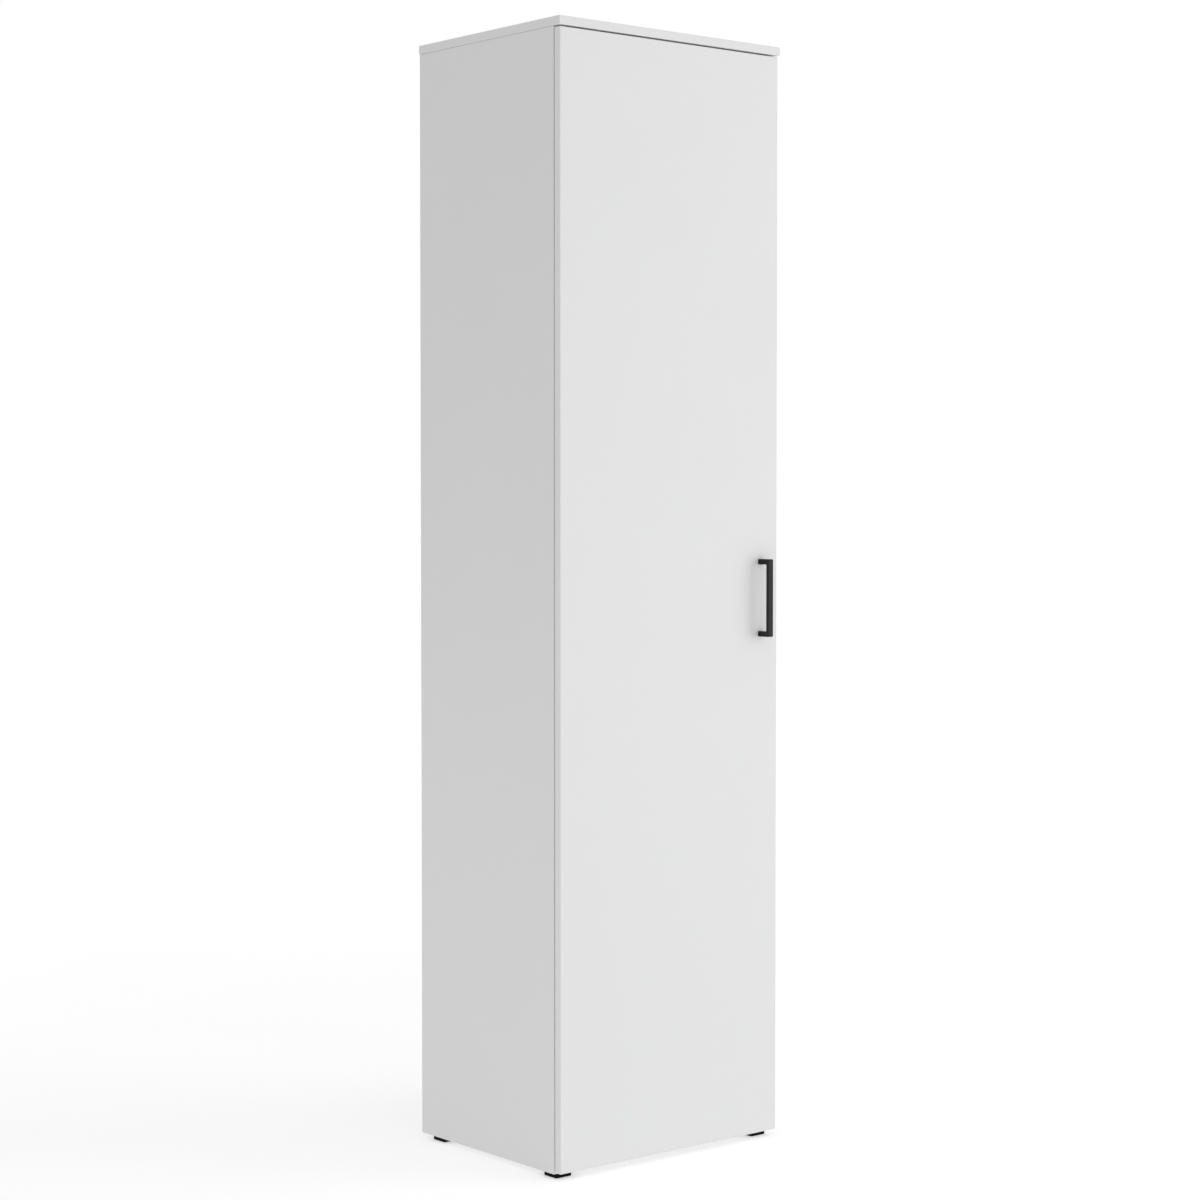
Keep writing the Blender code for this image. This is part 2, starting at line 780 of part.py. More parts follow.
def hinges():
    for place, height in zip(HINGE_NAMES, HINGE_HEIGHTS):
        hinge_plate(f"hinge_plate_{place}", height)
        hinge_arm(f"hinge_arm_{place}", height)
        hinge_link(f"hinge_link_{place}", height)
        hinge_cup(f"hinge_cup_{place}", height)


# Small fittings

def bumpers():
    """Soft bumpers on the front edge of the right side panel, which the door closes on."""
    thickness = DOOR_GAP - 2 * SEAT_GAP
    heights = {"lower": DOOR_BOTTOM + BUMPER_FROM_END, "upper": DOOR_TOP - BUMPER_FROM_END}
    for name, height in heights.items():
        bumper = turned(
            f"door_bumper_{name}",
            [
                (0, thickness),
                (BUMPER_TIP_RADIUS, thickness),
                (BUMPER_RADIUS, thickness / 2),
                (BUMPER_RADIUS, 0),
                (0, 0),
            ],
            SMALL_SIDES,
        )
        bumper.rotation_euler = (math.pi / 2, 0, 0)
        bumper.location = (HALF_WIDTH - BOARD / 2, CARCASS_FRONT - SEAT_GAP, height)
        smooth(bumper)
        add(bumper, clear_rubber, cabinet)


def wall_bracket():
    """An angle under the top panel and against the back panel, where a screw goes to the wall."""
    top = TOP_UNDERSIDE - SEAT_GAP
    back = GROOVE_FRONT
    bracket = box(
        "wall_bracket",
        (-BRACKET_WIDTH / 2, back - BRACKET_LEG, top - BRACKET_METAL),
        (BRACKET_WIDTH / 2, back, top),
    )
    join(bracket, box(
        "wall_bracket_upright",
        (-BRACKET_WIDTH / 2, back - BRACKET_METAL, top - BRACKET_LEG),
        (BRACKET_WIDTH / 2, back, top),
    ))
    through = BRACKET_METAL + 2 * CUT_OVERRUN
    cut(bracket, cylinders(
        "wall_bracket_top_hole_cutter",
        [(0, back - BRACKET_LEG / 2, top - BRACKET_METAL / 2)],
        BRACKET_HOLE_RADIUS, through, "Z", SMALL_SIDES,
    ))
    cut(bracket, cylinders(
        "wall_bracket_wall_hole_cutter",
        [(0, back - BRACKET_METAL / 2, top - BRACKET_LEG / 2)],
        BRACKET_HOLE_RADIUS, through, "Y", SMALL_SIDES,
    ))
    return add(bracket, zinc, cabinet)


clear_scene()
parts = new_collection("storage_cabinet")
cutters = new_collection("cutters")

white_board = material("white_laminated_board", (0.82, 0.82, 0.82), 0.45)
white_back = material("white_back_board", (0.80, 0.80, 0.79), 0.6)
black_metal = material("black_lacquered_metal", (0.035, 0.035, 0.036), 0.4, 0.3)
black_plastic = material("black_plastic", (0.012, 0.012, 0.012), 0.55)
nickel = material("nickel_plated_steel", (0.62, 0.61, 0.59), 0.3, 1.0)
zinc = material("zinc_plated_steel", (0.60, 0.61, 0.62), 0.4, 1.0)
clear_rubber = material("soft_clear_rubber", (0.75, 0.75, 0.73), 0.5)

cabinet = new_empty("cabinet_frame", ORIGIN)
link_swing = new_empty("link_swing_axis", ARM_PIN, cabinet)
door_swing = new_empty("door_swing_axis", CUP_PIN, cabinet)

side_panel("left_side_panel", -1)
side_panel("right_side_panel", 1)
top_panel()
cross_board("bottom_panel", FOOT_HEIGHT)
back_panel()
fixed_shelf()
adjustable_shelves()
feet()
door_panel()
handle()
handle_screws()
hinges()
bumpers()
wall_bracket()
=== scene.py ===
import json
import math

import bmesh
import bpy
import numpy as np
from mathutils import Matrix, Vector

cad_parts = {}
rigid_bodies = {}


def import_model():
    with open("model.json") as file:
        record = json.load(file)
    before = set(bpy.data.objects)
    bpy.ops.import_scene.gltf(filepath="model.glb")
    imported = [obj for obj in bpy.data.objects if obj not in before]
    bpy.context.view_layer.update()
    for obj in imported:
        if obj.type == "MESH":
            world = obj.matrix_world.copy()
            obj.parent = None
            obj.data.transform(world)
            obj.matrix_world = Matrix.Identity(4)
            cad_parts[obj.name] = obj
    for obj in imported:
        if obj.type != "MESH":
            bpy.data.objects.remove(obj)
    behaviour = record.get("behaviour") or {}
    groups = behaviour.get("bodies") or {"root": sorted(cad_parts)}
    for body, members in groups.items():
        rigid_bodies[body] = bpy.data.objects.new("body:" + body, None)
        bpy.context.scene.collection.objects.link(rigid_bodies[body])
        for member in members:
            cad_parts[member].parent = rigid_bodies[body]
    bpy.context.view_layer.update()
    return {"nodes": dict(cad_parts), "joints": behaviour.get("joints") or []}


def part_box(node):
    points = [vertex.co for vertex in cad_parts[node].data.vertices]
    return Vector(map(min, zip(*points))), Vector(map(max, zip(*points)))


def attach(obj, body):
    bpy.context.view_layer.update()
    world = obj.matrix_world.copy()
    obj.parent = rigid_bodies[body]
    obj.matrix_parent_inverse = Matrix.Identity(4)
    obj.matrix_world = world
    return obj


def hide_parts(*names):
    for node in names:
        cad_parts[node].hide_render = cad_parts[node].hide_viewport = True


# Storage cabinet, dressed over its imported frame. Metres; X to the right, Y to the back, Z up, floor at 0.
for startupObject in list(bpy.data.objects):
    bpy.data.objects.remove(startupObject, do_unlink=True)
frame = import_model()
print("frame loaded:", len(frame["nodes"]), "nodes")


# camera, at the photograph's angle
cameraSettings = {
    "place": (-2.9681, -3.5624, 1.1590),
    "turnDegrees": 39.7006,  # to the right of straight ahead
    "dipDegrees": 1.8886,  # below level
    "lens": 78.3017,
    "sensor": 36.0,
    "shiftUp": -0.02,
}
cameraData = bpy.data.cameras.new("photoCamera")
cameraData.lens = cameraSettings["lens"]
cameraData.sensor_width = cameraSettings["sensor"]
cameraData.shift_y = cameraSettings["shiftUp"]
cameraObject = bpy.data.objects.new("photoCamera", cameraData)
cameraObject.location = cameraSettings["place"]
cameraTilt = math.radians(90 - cameraSettings["dipDegrees"])
cameraObject.rotation_euler = (cameraTilt, 0, -math.radians(cameraSettings["turnDegrees"]))
bpy.context.scene.collection.objects.link(cameraObject)
bpy.context.scene.camera = cameraObject
print("camera placed")


# shader nodes

def feed(tree, node, values):
    # a number or a tuple is set on the input itself, and the output of another node is linked to it
    for label, value in values.items():
        socket = node.inputs[label]
        if isinstance(value, tuple) and socket.type == "RGBA":
            value = (*value, 1.0)
        if isinstance(value, (int, float, tuple)):
            socket.default_value = value
        else:
            tree.links.new(value, socket)


def addNode(tree, kind, values={}, **settings):
    node = tree.nodes.new(kind)
    for key, value in settings.items():
        setattr(node, key, value)
    feed(tree, node, values)
    return node


def mathNode(tree, operation, *values):
    return addNode(tree, "ShaderNodeMath", dict(enumerate(values)), operation=operation).outputs[0]


def vectorNode(tree, operation, *values, output=0):
    return addNode(tree, "ShaderNodeVectorMath", dict(enumerate(values)), operation=operation).outputs[output]


def splitNode(tree, vector):
    return addNode(tree, "ShaderNodeSeparateXYZ", {0: vector}).outputs


def rangeNode(tree, value, fromLow, fromHigh, toLow=0.0, toHigh=1.0):
    values = {"Value": value, "From Min": fromLow, "From Max": fromHigh, "To Min": toLow, "To Max": toHigh}
    return addNode(tree, "ShaderNodeMapRange", values, interpolation_type="SMOOTHSTEP").outputs[0]


def mixColours(tree, share, first, second):
    # inputs 0, 6 and 7 of the node are the factor and the two colours
    return addNode(tree, "ShaderNodeMix", {0: share, 6: first, 7: second}, data_type="RGBA").outputs[2]


def noiseNode(tree, position, size, detail, roughness=0.5):
    # the scale is 1 / size, so features come out about as large as size
    scale = mathNode(tree, "DIVIDE", 1.0, size)
    values = {"Vector": position, "Scale": scale, "Detail": detail, "Roughness": roughness}
    return addNode(tree, "ShaderNodeTexNoise", values).outputs["Fac"]


def bumpNode(tree, height, distance, strength=1.0):
    values = {"Height": height, "Distance": distance, "Strength": strength}
    return addNode(tree, "ShaderNodeBump", values).outputs["Normal"]


# node groups that the materials share
socketKinds = {"position": "Vector", "centre": "Vector", "halfSize": "Vector", "thinAxis": "Vector",
               "colour": "Color"}
texture = {
    "peelDetail": 1.5,
    "pitDetail": 1.0,
    "pitRange": (0.42, 0.66),
    "cloudDetail": 3.0,
    "cloudRoughness": 0.6,
    "cloudRange": (0.35, 0.7),
    "streakDetail": 2.0,
    "streakStretch": (1.0, 1.0, 0.06),
    "streakRange": (0.5, 0.75),
    "axisPush": (10.0, 10.0, 10.0),  # takes the thin axis out of the least depth
    "coreRange": (0.0009, 0.0011),
    "seamRange": (0.00016, 0.0),
    "faceRange": (0.0004, 0.0002),
    "rimRange": (0.004, 0.0),
    "chipStretch": (1.0, 0.45, 0.6),
    "chipSize": 0.0016,
    "darkChip": (0.30, 0.19, 0.10),
    "paleChip": (0.62, 0.46, 0.28),
}


def newGroup(name, inputs, outputs):
    tree = bpy.data.node_groups.new(name, "ShaderNodeTree")
    for way, labels in (("INPUT", inputs), ("OUTPUT", outputs)):
        for label in labels:
            kind = "NodeSocket" + socketKinds.get(label, "Float")
            tree.interface.new_socket(label, in_out=way, socket_type=kind)
    return tree, tree.nodes.new("NodeGroupInput").outputs, tree.nodes.new("NodeGroupOutput")


def surfaceGrainGroup():
    # height = soft peel noise + share of fine pits; tint = the same pits as a faint mask
    inputs = ("position", "peelSize", "pitSize", "pitShare")
    tree, given, made = newGroup("surfaceGrain", inputs, ("height", "tint"))
    peel = noiseNode(tree, given["position"], given["peelSize"], texture["peelDetail"])
    pits = noiseNode(tree, given["position"], given["pitSize"], texture["pitDetail"])
    mask = rangeNode(tree, pits, *texture["pitRange"])
    feed(tree, made, {"height": mathNode(tree, "MULTIPLY_ADD", mask, given["pitShare"], peel), "tint": mask})
    return tree


def handlingMarksGroup():
    # marks = broad clouds where hands and cloths have polished the surface, streaks = thin wiping lines
    inputs = ("position", "cloudSize", "streakSize")
    tree, given, made = newGroup("handlingMarks", inputs, ("marks", "streaks"))
    detail, roughness = texture["cloudDetail"], texture["cloudRoughness"]
    clouds = noiseNode(tree, given["position"], given["cloudSize"], detail, roughness)
    stretched = vectorNode(tree, "MULTIPLY", given["position"], texture["streakStretch"])
    streaks = noiseNode(tree, stretched, given["streakSize"], texture["streakDetail"])
    feed(tree, made, {"marks": rangeNode(tree, clouds, *texture["cloudRange"]),
                      "streaks": rangeNode(tree, streaks, *texture["streakRange"])})
    return tree


def boardLayersGroup():
    # Depth under each face = half size - distance from the board's centre, along each axis.
    # The core is where the least of the three depths passes the laminate. The seam is the thin line on the
    # broad faces where the edging meets the laminate. The rim grows towards the board's edges.
    inputs = ("position", "centre", "halfSize", "thinAxis", "edging")
    tree, given, made = newGroup("boardLayers", inputs, ("core", "seam", "rim"))
    offset = vectorNode(tree, "ABSOLUTE", vectorNode(tree, "SUBTRACT", given["position"], given["centre"]))
    depth = vectorNode(tree, "SUBTRACT", given["halfSize"], offset)
    thin = vectorNode(tree, "DOT_PRODUCT", depth, given["thinAxis"], output=1)
    x, y, z = splitNode(tree, vectorNode(tree, "MULTIPLY_ADD", given["thinAxis"], texture["axisPush"], depth))
    wide = mathNode(tree, "MINIMUM", x, mathNode(tree, "MINIMUM", y, z))
    fromSeam = mathNode(tree, "ABSOLUTE", mathNode(tree, "SUBTRACT", wide, given["edging"]))
    line = rangeNode(tree, fromSeam, *texture["seamRange"])
    onFace = rangeNode(tree, thin, *texture["faceRange"])
    feed(tree, made, {"core": rangeNode(tree, mathNode(tree, "MINIMUM", thin, wide), *texture["coreRange"]),
                      "seam": mathNode(tree, "MULTIPLY", line, onFace),
                      "rim": rangeNode(tree, wide, *texture["rimRange"])})
    return tree


def chipboardGroup():
    # wood chips: cells of random tone, stretched along the board, with dark gaps between them
    tree, given, made = newGroup("chipboardCore", ("position",), ("colour", "height"))
    chips = {"Vector": vectorNode(tree, "MULTIPLY", given["position"], texture["chipStretch"]),
             "Scale": 1 / texture["chipSize"]}
    cells = addNode(tree, "ShaderNodeTexVoronoi", chips).outputs
    tone = addNode(tree, "ShaderNodeSeparateColor", {0: cells["Color"]}).outputs[0]
    feed(tree, made, {"colour": mixColours(tree, tone, texture["darkChip"], texture["paleChip"]),
                      "height": cells["Distance"]})
    return tree


groups = {
    "grain": surfaceGrainGroup(),
    "marks": handlingMarksGroup(),
    "layers": boardLayersGroup(),
    "chips": chipboardGroup(),
}


def placeGroup(tree, kind, position, values={}):
    # of the values, those that the group has an input for are set on it
    node = addNode(tree, "ShaderNodeGroup", node_tree=groups[kind])
    feed(tree, node, {label: value for label, value in values.items() if label in node.inputs})
    feed(tree, node, {"position": position})
    return node.outputs


def newMaterial(name):
    material = bpy.data.materials.new(name)
    material.use_nodes = True
    tree = material.node_tree
    position = addNode(tree, "ShaderNodeTexCoord").outputs["Object"]
    return material, tree, tree.nodes["Principled BSDF"], position


laminate = {
    "colour": (0.80, 0.802, 0.805),
    "pitColour": (0.775, 0.778, 0.782),
    "pitTint": 0.6,
    "seamColour": (0.60, 0.60, 0.60),
    "seamTint": 0.55,
    "rough": (0.40, 0.47),  # clean, and where hands have marked it
    "rimWear": 0.25,
    "coreRough": 0.4,  # added where the core is bare
    "coreRise": 6.0,
    "specular": 0.42,
    "bump": 0.00004,
    "bumpStrength": 0.8,
    "peelSize": 0.0035,
    "pitSize": 0.00055,
    "pitShare": 0.5,
    "cloudSize": 0.25,
    "streakSize": 0.005,
}


def laminateMaterial(name, centre, half, edging):
    # white melamine over chipboard; the board's own box tells where laminate, edging and core lie
    material, tree, shader, position = newMaterial(name)
    thin = tuple(float(axis == np.argmin(half)) for axis in range(3))
    layers = placeGroup(tree, "layers", position, {"centre": tuple(centre), "halfSize": tuple(half),
                                                   "thinAxis": thin, "edging": edging})
    grain, marks = (placeGroup(tree, kind, position, laminate) for kind in ("grain", "marks"))
    chips = placeGroup(tree, "chips", position)
    pits = mathNode(tree, "MULTIPLY", grain["tint"], laminate["pitTint"])
    seam = mathNode(tree, "MULTIPLY", layers["seam"], laminate["seamTint"])
    skin = mixColours(tree, pits, laminate["colour"], laminate["pitColour"])
    skin = mixColours(tree, seam, skin, laminate["seamColour"])
    worn = mathNode(tree, "MULTIPLY_ADD", layers["rim"], laminate["rimWear"], marks["marks"])
    rough = rangeNode(tree, worn, 0.0, 1.0 + laminate["rimWear"], *laminate["rough"])
    coreRough = rangeNode(tree, layers["core"], 0.0, 1.0, 0.0, laminate["coreRough"])
    rise = mathNode(tree, "MULTIPLY_ADD", layers["core"], laminate["coreRise"], grain["height"])
    sunk = mathNode(tree, "SUBTRACT", rise, layers["seam"])
    feed(tree, shader, {"Base Color": mixColours(tree, layers["core"], skin, chips["colour"]),
                        "Roughness": mathNode(tree, "ADD", rough, coreRough),
                        "Specular IOR Level": laminate["specular"],
                        "Normal": bumpNode(tree, sunk, laminate["bump"], laminate["bumpStrength"])})
    return material


# The other finishes. Each turns to its second colour by wornShare times one mask, and from its first roughness
# to the second by another: tint for pits, marks for clouds, streaks for lines.
blackCoat = {"worn": "marks", "wornShare": 0.6, "roughBy": "streaks", "pitShare": 0.7, "cloudSize": 0.03,
             "streakSize": 0.0015}
steelPlate = {"worn": "marks", "wornShare": 0.7, "roughBy": "streaks", "bump": 0.00002, "peelSize": 0.0012,
              "pitSize": 0.00025, "pitShare": 0.5, "cloudSize": 0.012, "streakSize": 0.0006,
              "shader": {"Metallic": 1.0}}
coatings = {
    "whiteBackBoard": {  # painted fibreboard with fine flecks of fibre
        "colours": ((0.79, 0.79, 0.785), (0.70, 0.695, 0.68)), "worn": "tint", "wornShare": 0.35,
        "rough": (0.52, 0.66), "roughBy": "marks", "bump": 0.00006, "peelSize": 0.006, "pitSize": 0.0011,
        "pitShare": 0.8, "cloudSize": 0.15, "streakSize": 0.003, "shader": {}, "slot": "white_back_board",
    },
    "blackLacquer": {
        "colours": ((0.008, 0.008, 0.0084), (0.0136, 0.0136, 0.0142)), "rough": (0.34, 0.46), "bump": 0.00003,
        "peelSize": 0.0016, "pitSize": 0.0003, "shader": {"Specular IOR Level": 0.23},
        "slot": "black_lacquered_metal", **blackCoat,
    },
    "blackPlastic": {
        "colours": ((0.0022, 0.0022, 0.0022), (0.007, 0.007, 0.007)), "rough": (0.60, 0.78), "bump": 0.00008,
        "peelSize": 0.002, "pitSize": 0.0004, "shader": {"Specular IOR Level": 0.07}, "slot": "black_plastic",
        **blackCoat,
    },
    "nickelPlate": {"colours": ((0.72, 0.705, 0.68), (0.60, 0.585, 0.56)), "rough": (0.17, 0.28),
                    "slot": "nickel_plated_steel", **steelPlate},
    "zincPlate": {"colours": ((0.66, 0.675, 0.69), (0.53, 0.545, 0.56)), "rough": (0.26, 0.40),
                  "slot": "zinc_plated_steel", **steelPlate},
    "clearBumper": {  # soft clear plastic, milky and a little yellowed, without grain
        "colours": ((0.86, 0.86, 0.84), (0.80, 0.79, 0.74)), "worn": "marks", "wornShare": 1.0,
        "rough": (0.18, 0.32), "roughBy": "marks", "bump": None, "cloudSize": 0.004, "streakSize": 0.001,
        "shader": {"Transmission Weight": 0.6, "IOR": 1.42}, "slot": "soft_clear_rubber",
    },
}


def coatedMaterial(name):
    coating = coatings[name]
    material, tree, shader, position = newMaterial(name)
    masks = dict(placeGroup(tree, "marks", position, coating).items())
    if coating["bump"]:
        masks.update(placeGroup(tree, "grain", position, coating).items())
        feed(tree, shader, {"Normal": bumpNode(tree, masks["height"], coating["bump"])})
    worn = mathNode(tree, "MULTIPLY", masks[coating["worn"]], coating["wornShare"])
    feed(tree, shader, {"Base Color": mixColours(tree, worn, *coating["colours"]), **coating["shader"],
                        "Roughness": rangeNode(tree, masks[coating["roughBy"]], 0.0, 1.0, *coating["rough"])})
    return material


finishes = {name: coatedMaterial(name) for name in coatings}
print("finishes ready")


# surfaces from numpy; a shell is its points and its faces
quarter = math.pi / 2
sharpDegrees = 35  # edges that turn more than this stay sharp


def pointsFrom(x, y, z):
    # points from their three coordinates, each spread over the shape of the others
    return np.stack(np.broadcast_arrays(x, y, z), -1)


def arc(start, end, steps):
    # unit vectors (cosine, sine) from one angle to the other
    turn = np.linspace(start, end, steps + 1)
    return np.stack([np.cos(turn), np.sin(turn)], -1)


def gridFaces(rows, columns, wrapRows=False, wrapColumns=True):
    # the quad at (i, j) joins its four corners; where rows or columns wrap, the last joins the first
    i, j = np.meshgrid(np.arange(rows - 1 + wrapRows), np.arange(columns - 1 + wrapColumns), indexing="ij")
    nextI, nextJ = (i + 1) % rows, (j + 1) % columns
    corners = (i * columns + j, i * columns + nextJ, nextI * columns + nextJ, nextI * columns + j)
    return np.stack(corners, -1).reshape(-1, 4).tolist()


def lofted(rings, wrapRows=False):
    # a shell through closed rings, an array of (ring, point, 3), with its two ends filled
    rows, columns = rings.shape[:2]
    faces = gridFaces(rows, columns, wrapRows)
    if not wrapRows:
        last = (rows - 1) * columns
        faces += [list(range(columns))[::-1], list(range(last, last + columns))]
    return rings.reshape(-1, 3), faces


def roundedOutline(halfX, halfY, radius, steps):
    # corner centre + radius times (cosine, sine), over a quarter turn at each of four corners
    turn = np.arange(4)[:, None] * quarter + np.linspace(0, quarter, steps + 1)
    signX, signY = np.array([1, -1, -1, 1])[:, None], np.array([1, 1, -1, -1])[:, None]
    x = signX * (halfX - radius) + radius * np.cos(turn)
    y = signY * (halfY - radius) + radius * np.sin(turn)
    return np.stack([x, y], -1).reshape(-1, 2)


def roundedBox(low, high, edge, steps=4, corner=0.0):
    # The outline's corners are drawn in by edge * (1 - sine) while the height rises by edge * (1 - cosine).
    # The upright corners are never tighter than the edge, with 5% to spare.
    low, high = np.array(low, float), np.array(high, float)
    centre, half = (low + high) / 2, (high - low) / 2
    corner, cornerSteps = max(corner, edge * 1.05), max(steps, 5)
    turn = np.linspace(0, quarter, steps + 1)
    drawn, rise = edge * (1 - np.sin(turn)), half[2] - edge * (1 - np.cos(turn))
    drawn, height = np.concatenate([drawn, drawn[::-1]]), np.concatenate([-rise, rise[::-1]])
    outward = roundedOutline(1.0, 1.0, 1.0, cornerSteps)  # unit vectors round each corner
    flat = roundedOutline(half[0], half[1], corner, cornerSteps) - drawn[:, None, None] * outward
    return lofted(pointsFrom(flat[..., 0], flat[..., 1], height[:, None]) + centre)


def turnedShell(profile, sides, centre, along):
    # each ring is radius times (cosine, sine) across the axis, at its height along it
    along = np.array(along, float)
    across = np.roll(along, 1)
    other = np.cross(along, across)
    radius, height = np.array(profile, float).T
    turn = np.linspace(0, 2 * math.pi, sides, endpoint=False)
    circle = np.cos(turn)[:, None] * across + np.sin(turn)[:, None] * other
    rings = radius[:, None, None] * circle[None] + height[:, None, None] * along
    return lofted(rings + np.array(centre, float))


def cylinder(radius, start, end, centre, along, sides):
    # one radius from start to end along the axis, both measured from the centre
    return turnedShell([(radius, start), (radius, end)], sides, centre, along)


def turnAxes(shell, order, centre):
    # the shell's own axes become those that order names, such as (1, 2, 0) for X as Y, Y as Z and Z as X
    points, faces = shell
    turned = np.zeros_like(points)
    turned[:, list(order)] = points
    return turned + np.array(centre, float), faces


def meshFrom(name, shells):
    # the shells' points one after another, and each shell's faces counted on from where its points start
    points, faces, start = [], [], 0
    for shellPoints, shellFaces in shells:
        points.append(shellPoints)
        faces += [[start + index for index in face] for face in shellFaces]
        start += len(shellPoints)
    mesh = bpy.data.meshes.new(name)
    mesh.from_pydata(np.concatenate(points).tolist(), [], faces)
    shape = bmesh.new()
    shape.from_mesh(mesh)
    bmesh.ops.recalc_face_normals(shape, faces=shape.faces)
    shape.to_mesh(mesh)
    shape.free()
    return mesh


def cutMesh(name, mesh, cutterShells):
    # exact cuts with temporary cutters, which are then removed
    board = bpy.data.objects.new(name + "Uncut", mesh)
    cutter = bpy.data.objects.new(name + "Cutter", meshFrom(name + "Cutter", cutterShells))
    for item in (board, cutter):
        bpy.context.scene.collection.objects.link(item)
    change = board.modifiers.new("cut", "BOOLEAN")
    change.operation = "DIFFERENCE"
    change.solver = "EXACT"
    change.object = cutter
    graph = bpy.context.evaluated_depsgraph_get()
    cutResult = bpy.data.meshes.new_from_object(board.evaluated_get(graph))
    for item in (board, cutter):
        bpy.data.objects.remove(item, do_unlink=True)
    return cutResult


def addPiece(name, shells, material, body, nodes, cutters=None):
    mesh = meshFrom(name, shells)
    if cutters:
        mesh = cutMesh(name, mesh, cutters)
    mesh.name = name
    mesh.materials.clear()
    mesh.materials.append(material)
    mesh.shade_smooth()
    mesh.set_sharp_from_angle(angle=math.radians(sharpDegrees))
    piece = bpy.data.objects.new(name, mesh)
    bpy.context.scene.collection.objects.link(piece)
    weighted = piece.modifiers.new("faceNormals", "WEIGHTED_NORMAL")
    weighted.keep_sharp = True
    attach(piece, body)
    if nodes:
        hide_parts(*nodes)


def addCoated(name, shells, finish, body, nodes, cutters=None):
    addPiece(name, shells, finishes[finish], body, nodes, cutters)


def boxOf(node):
    low, high = np.array(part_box(node))
    return low, high, (low + high) / 2


# boards
boardSizes = {
    "edge": 0.0007,  # rounding of the long flat faces' rims
    "uprightEdge": {"left_side_panel": 0.0020, "right_side_panel": 0.0020, "door_panel": 0.0013},
    "seamFromEdge": 0.0003,
    "pinHole": 0.0026,
    "pinHoleDepth": 0.009,
    "pinPitch": 0.032,
    "sparePinRows": 1,
    "screwHole": 0.0023,
    "screwHoleReach": 0.03,
    "holeSides": 28,
    "cupSides": 64,
    "grooveEdge": 0.00002,
    "grooveEndPlay": 0.0005,
    "clearance": 0.0003,
    "overrun": 0.003,
    "backEdge": 0.0003,
}
clearance, overrun = boardSizes["clearance"], boardSizes["overrun"]
carcassFront = boxOf("left_side_panel")[0][1]
hingePlaces = ("bottom", "lower_middle", "upper_middle", "top")


def grooveCutter():
    # the back panel's own box, grown by its play, and open at the bottom
    low, high, middle = boxOf("back_panel")
    play = np.array([boardSizes["grooveEndPlay"], clearance, boardSizes["grooveEndPlay"]])
    low, high = low - play, high + play
    low[2] = boxOf("left_side_panel")[0][2] - overrun
    return roundedBox(low, high, boardSizes["grooveEdge"], 1)


def pinHoleCutters(side):
    # three rows for each shelf: the row that holds its pins, one above and one below
    cutters = []
    inner = boxOf(f"{side}_side_panel")[1 if side == "left" else 0][0]
    radius, depth, spare = boardSizes["pinHole"], boardSizes["pinHoleDepth"], boardSizes["sparePinRows"]
    for number in range(1, 5):
        for line in ("front", "back"):
            pin = boxOf(f"shelf_{number}_pin_{side}_{line}")[2]
            for row in range(-spare, spare + 1):
                centre = (inner, pin[1], pin[2] + row * boardSizes["pinPitch"])
                cutters.append(cylinder(radius, -depth, depth, centre, (1, 0, 0), boardSizes["holeSides"]))
    return cutters


# the corner cams draw the carcass together and are set like the fixed shelf's, which come from the frame
camSizes = {"radius": 0.0075, "depth": 0.0125, "fromJoint": 0.034, "fromEdges": 0.050, "sides": 36,
            "face": 0.0009, "sunk": 0.0010}


def shelfCams():
    # for each cam: name, place on the open face, the way that face looks, radius, depth and nodes
    cams = [(node, *boxOf(node)) for node in sorted(frame["nodes"]) if node.startswith("shelf_cam_")]
    return [(node + "_disc", (*middle[:2], low[2]), (0, 0, -1), high[0] - middle[0], high[2] - low[2], [node])
            for node, low, high, middle in cams]


def cornerCams(board):
    # the same for two cams by each joint, near the front and the back
    low, high, middle = boxOf(board)
    fromJoint, fromEdges = camSizes["fromJoint"], camSizes["fromEdges"]
    lines = {"front": carcassFront + fromEdges, "back": boxOf("back_panel")[0][1] - fromEdges}
    if board == "bottom_panel":
        ends = {"left": low[0] + fromJoint, "right": high[0] - fromJoint}
        cams = [(f"bottom_cam_{end}_{line}", (x, y, low[2]), (0, 0, -1)) for end, x in ends.items()
                for line, y in lines.items()]
    else:
        side = board.split("_")[0]
        x, normal = (high[0], (1, 0, 0)) if side == "left" else (low[0], (-1, 0, 0))
        cams = [(f"{side}_cam_{line}", (x, y, high[2] - fromJoint), normal) for line, y in lines.items()]
    return [(*cam, camSizes["radius"], camSizes["depth"], []) for cam in cams]


camsOf = {"fixed_shelf": shelfCams()}
camsOf.update((board, cornerCams(board)) for board in ("left_side_panel", "right_side_panel", "bottom_panel"))


def camPockets(board):
    return [cylinder(radius + clearance, -depth - clearance, overrun, place, normal, camSizes["sides"])
            for name, place, normal, radius, depth, nodes in camsOf[board]]


def boardPiece(node, body, cutters=None):
    # the board's own box with its rims rounded, less the cutters
    low, high, middle = boxOf(node)
    upright = boardSizes["uprightEdge"].get(node, boardSizes["edge"])
    edging = upright + boardSizes["seamFromEdge"]
    material = laminateMaterial(node + "_finish", middle, (high - low) / 2, edging)
    shell = roundedBox(low, high, boardSizes["edge"], corner=upright)
    addPiece(node + "_board", [shell], material, body, [node], cutters)


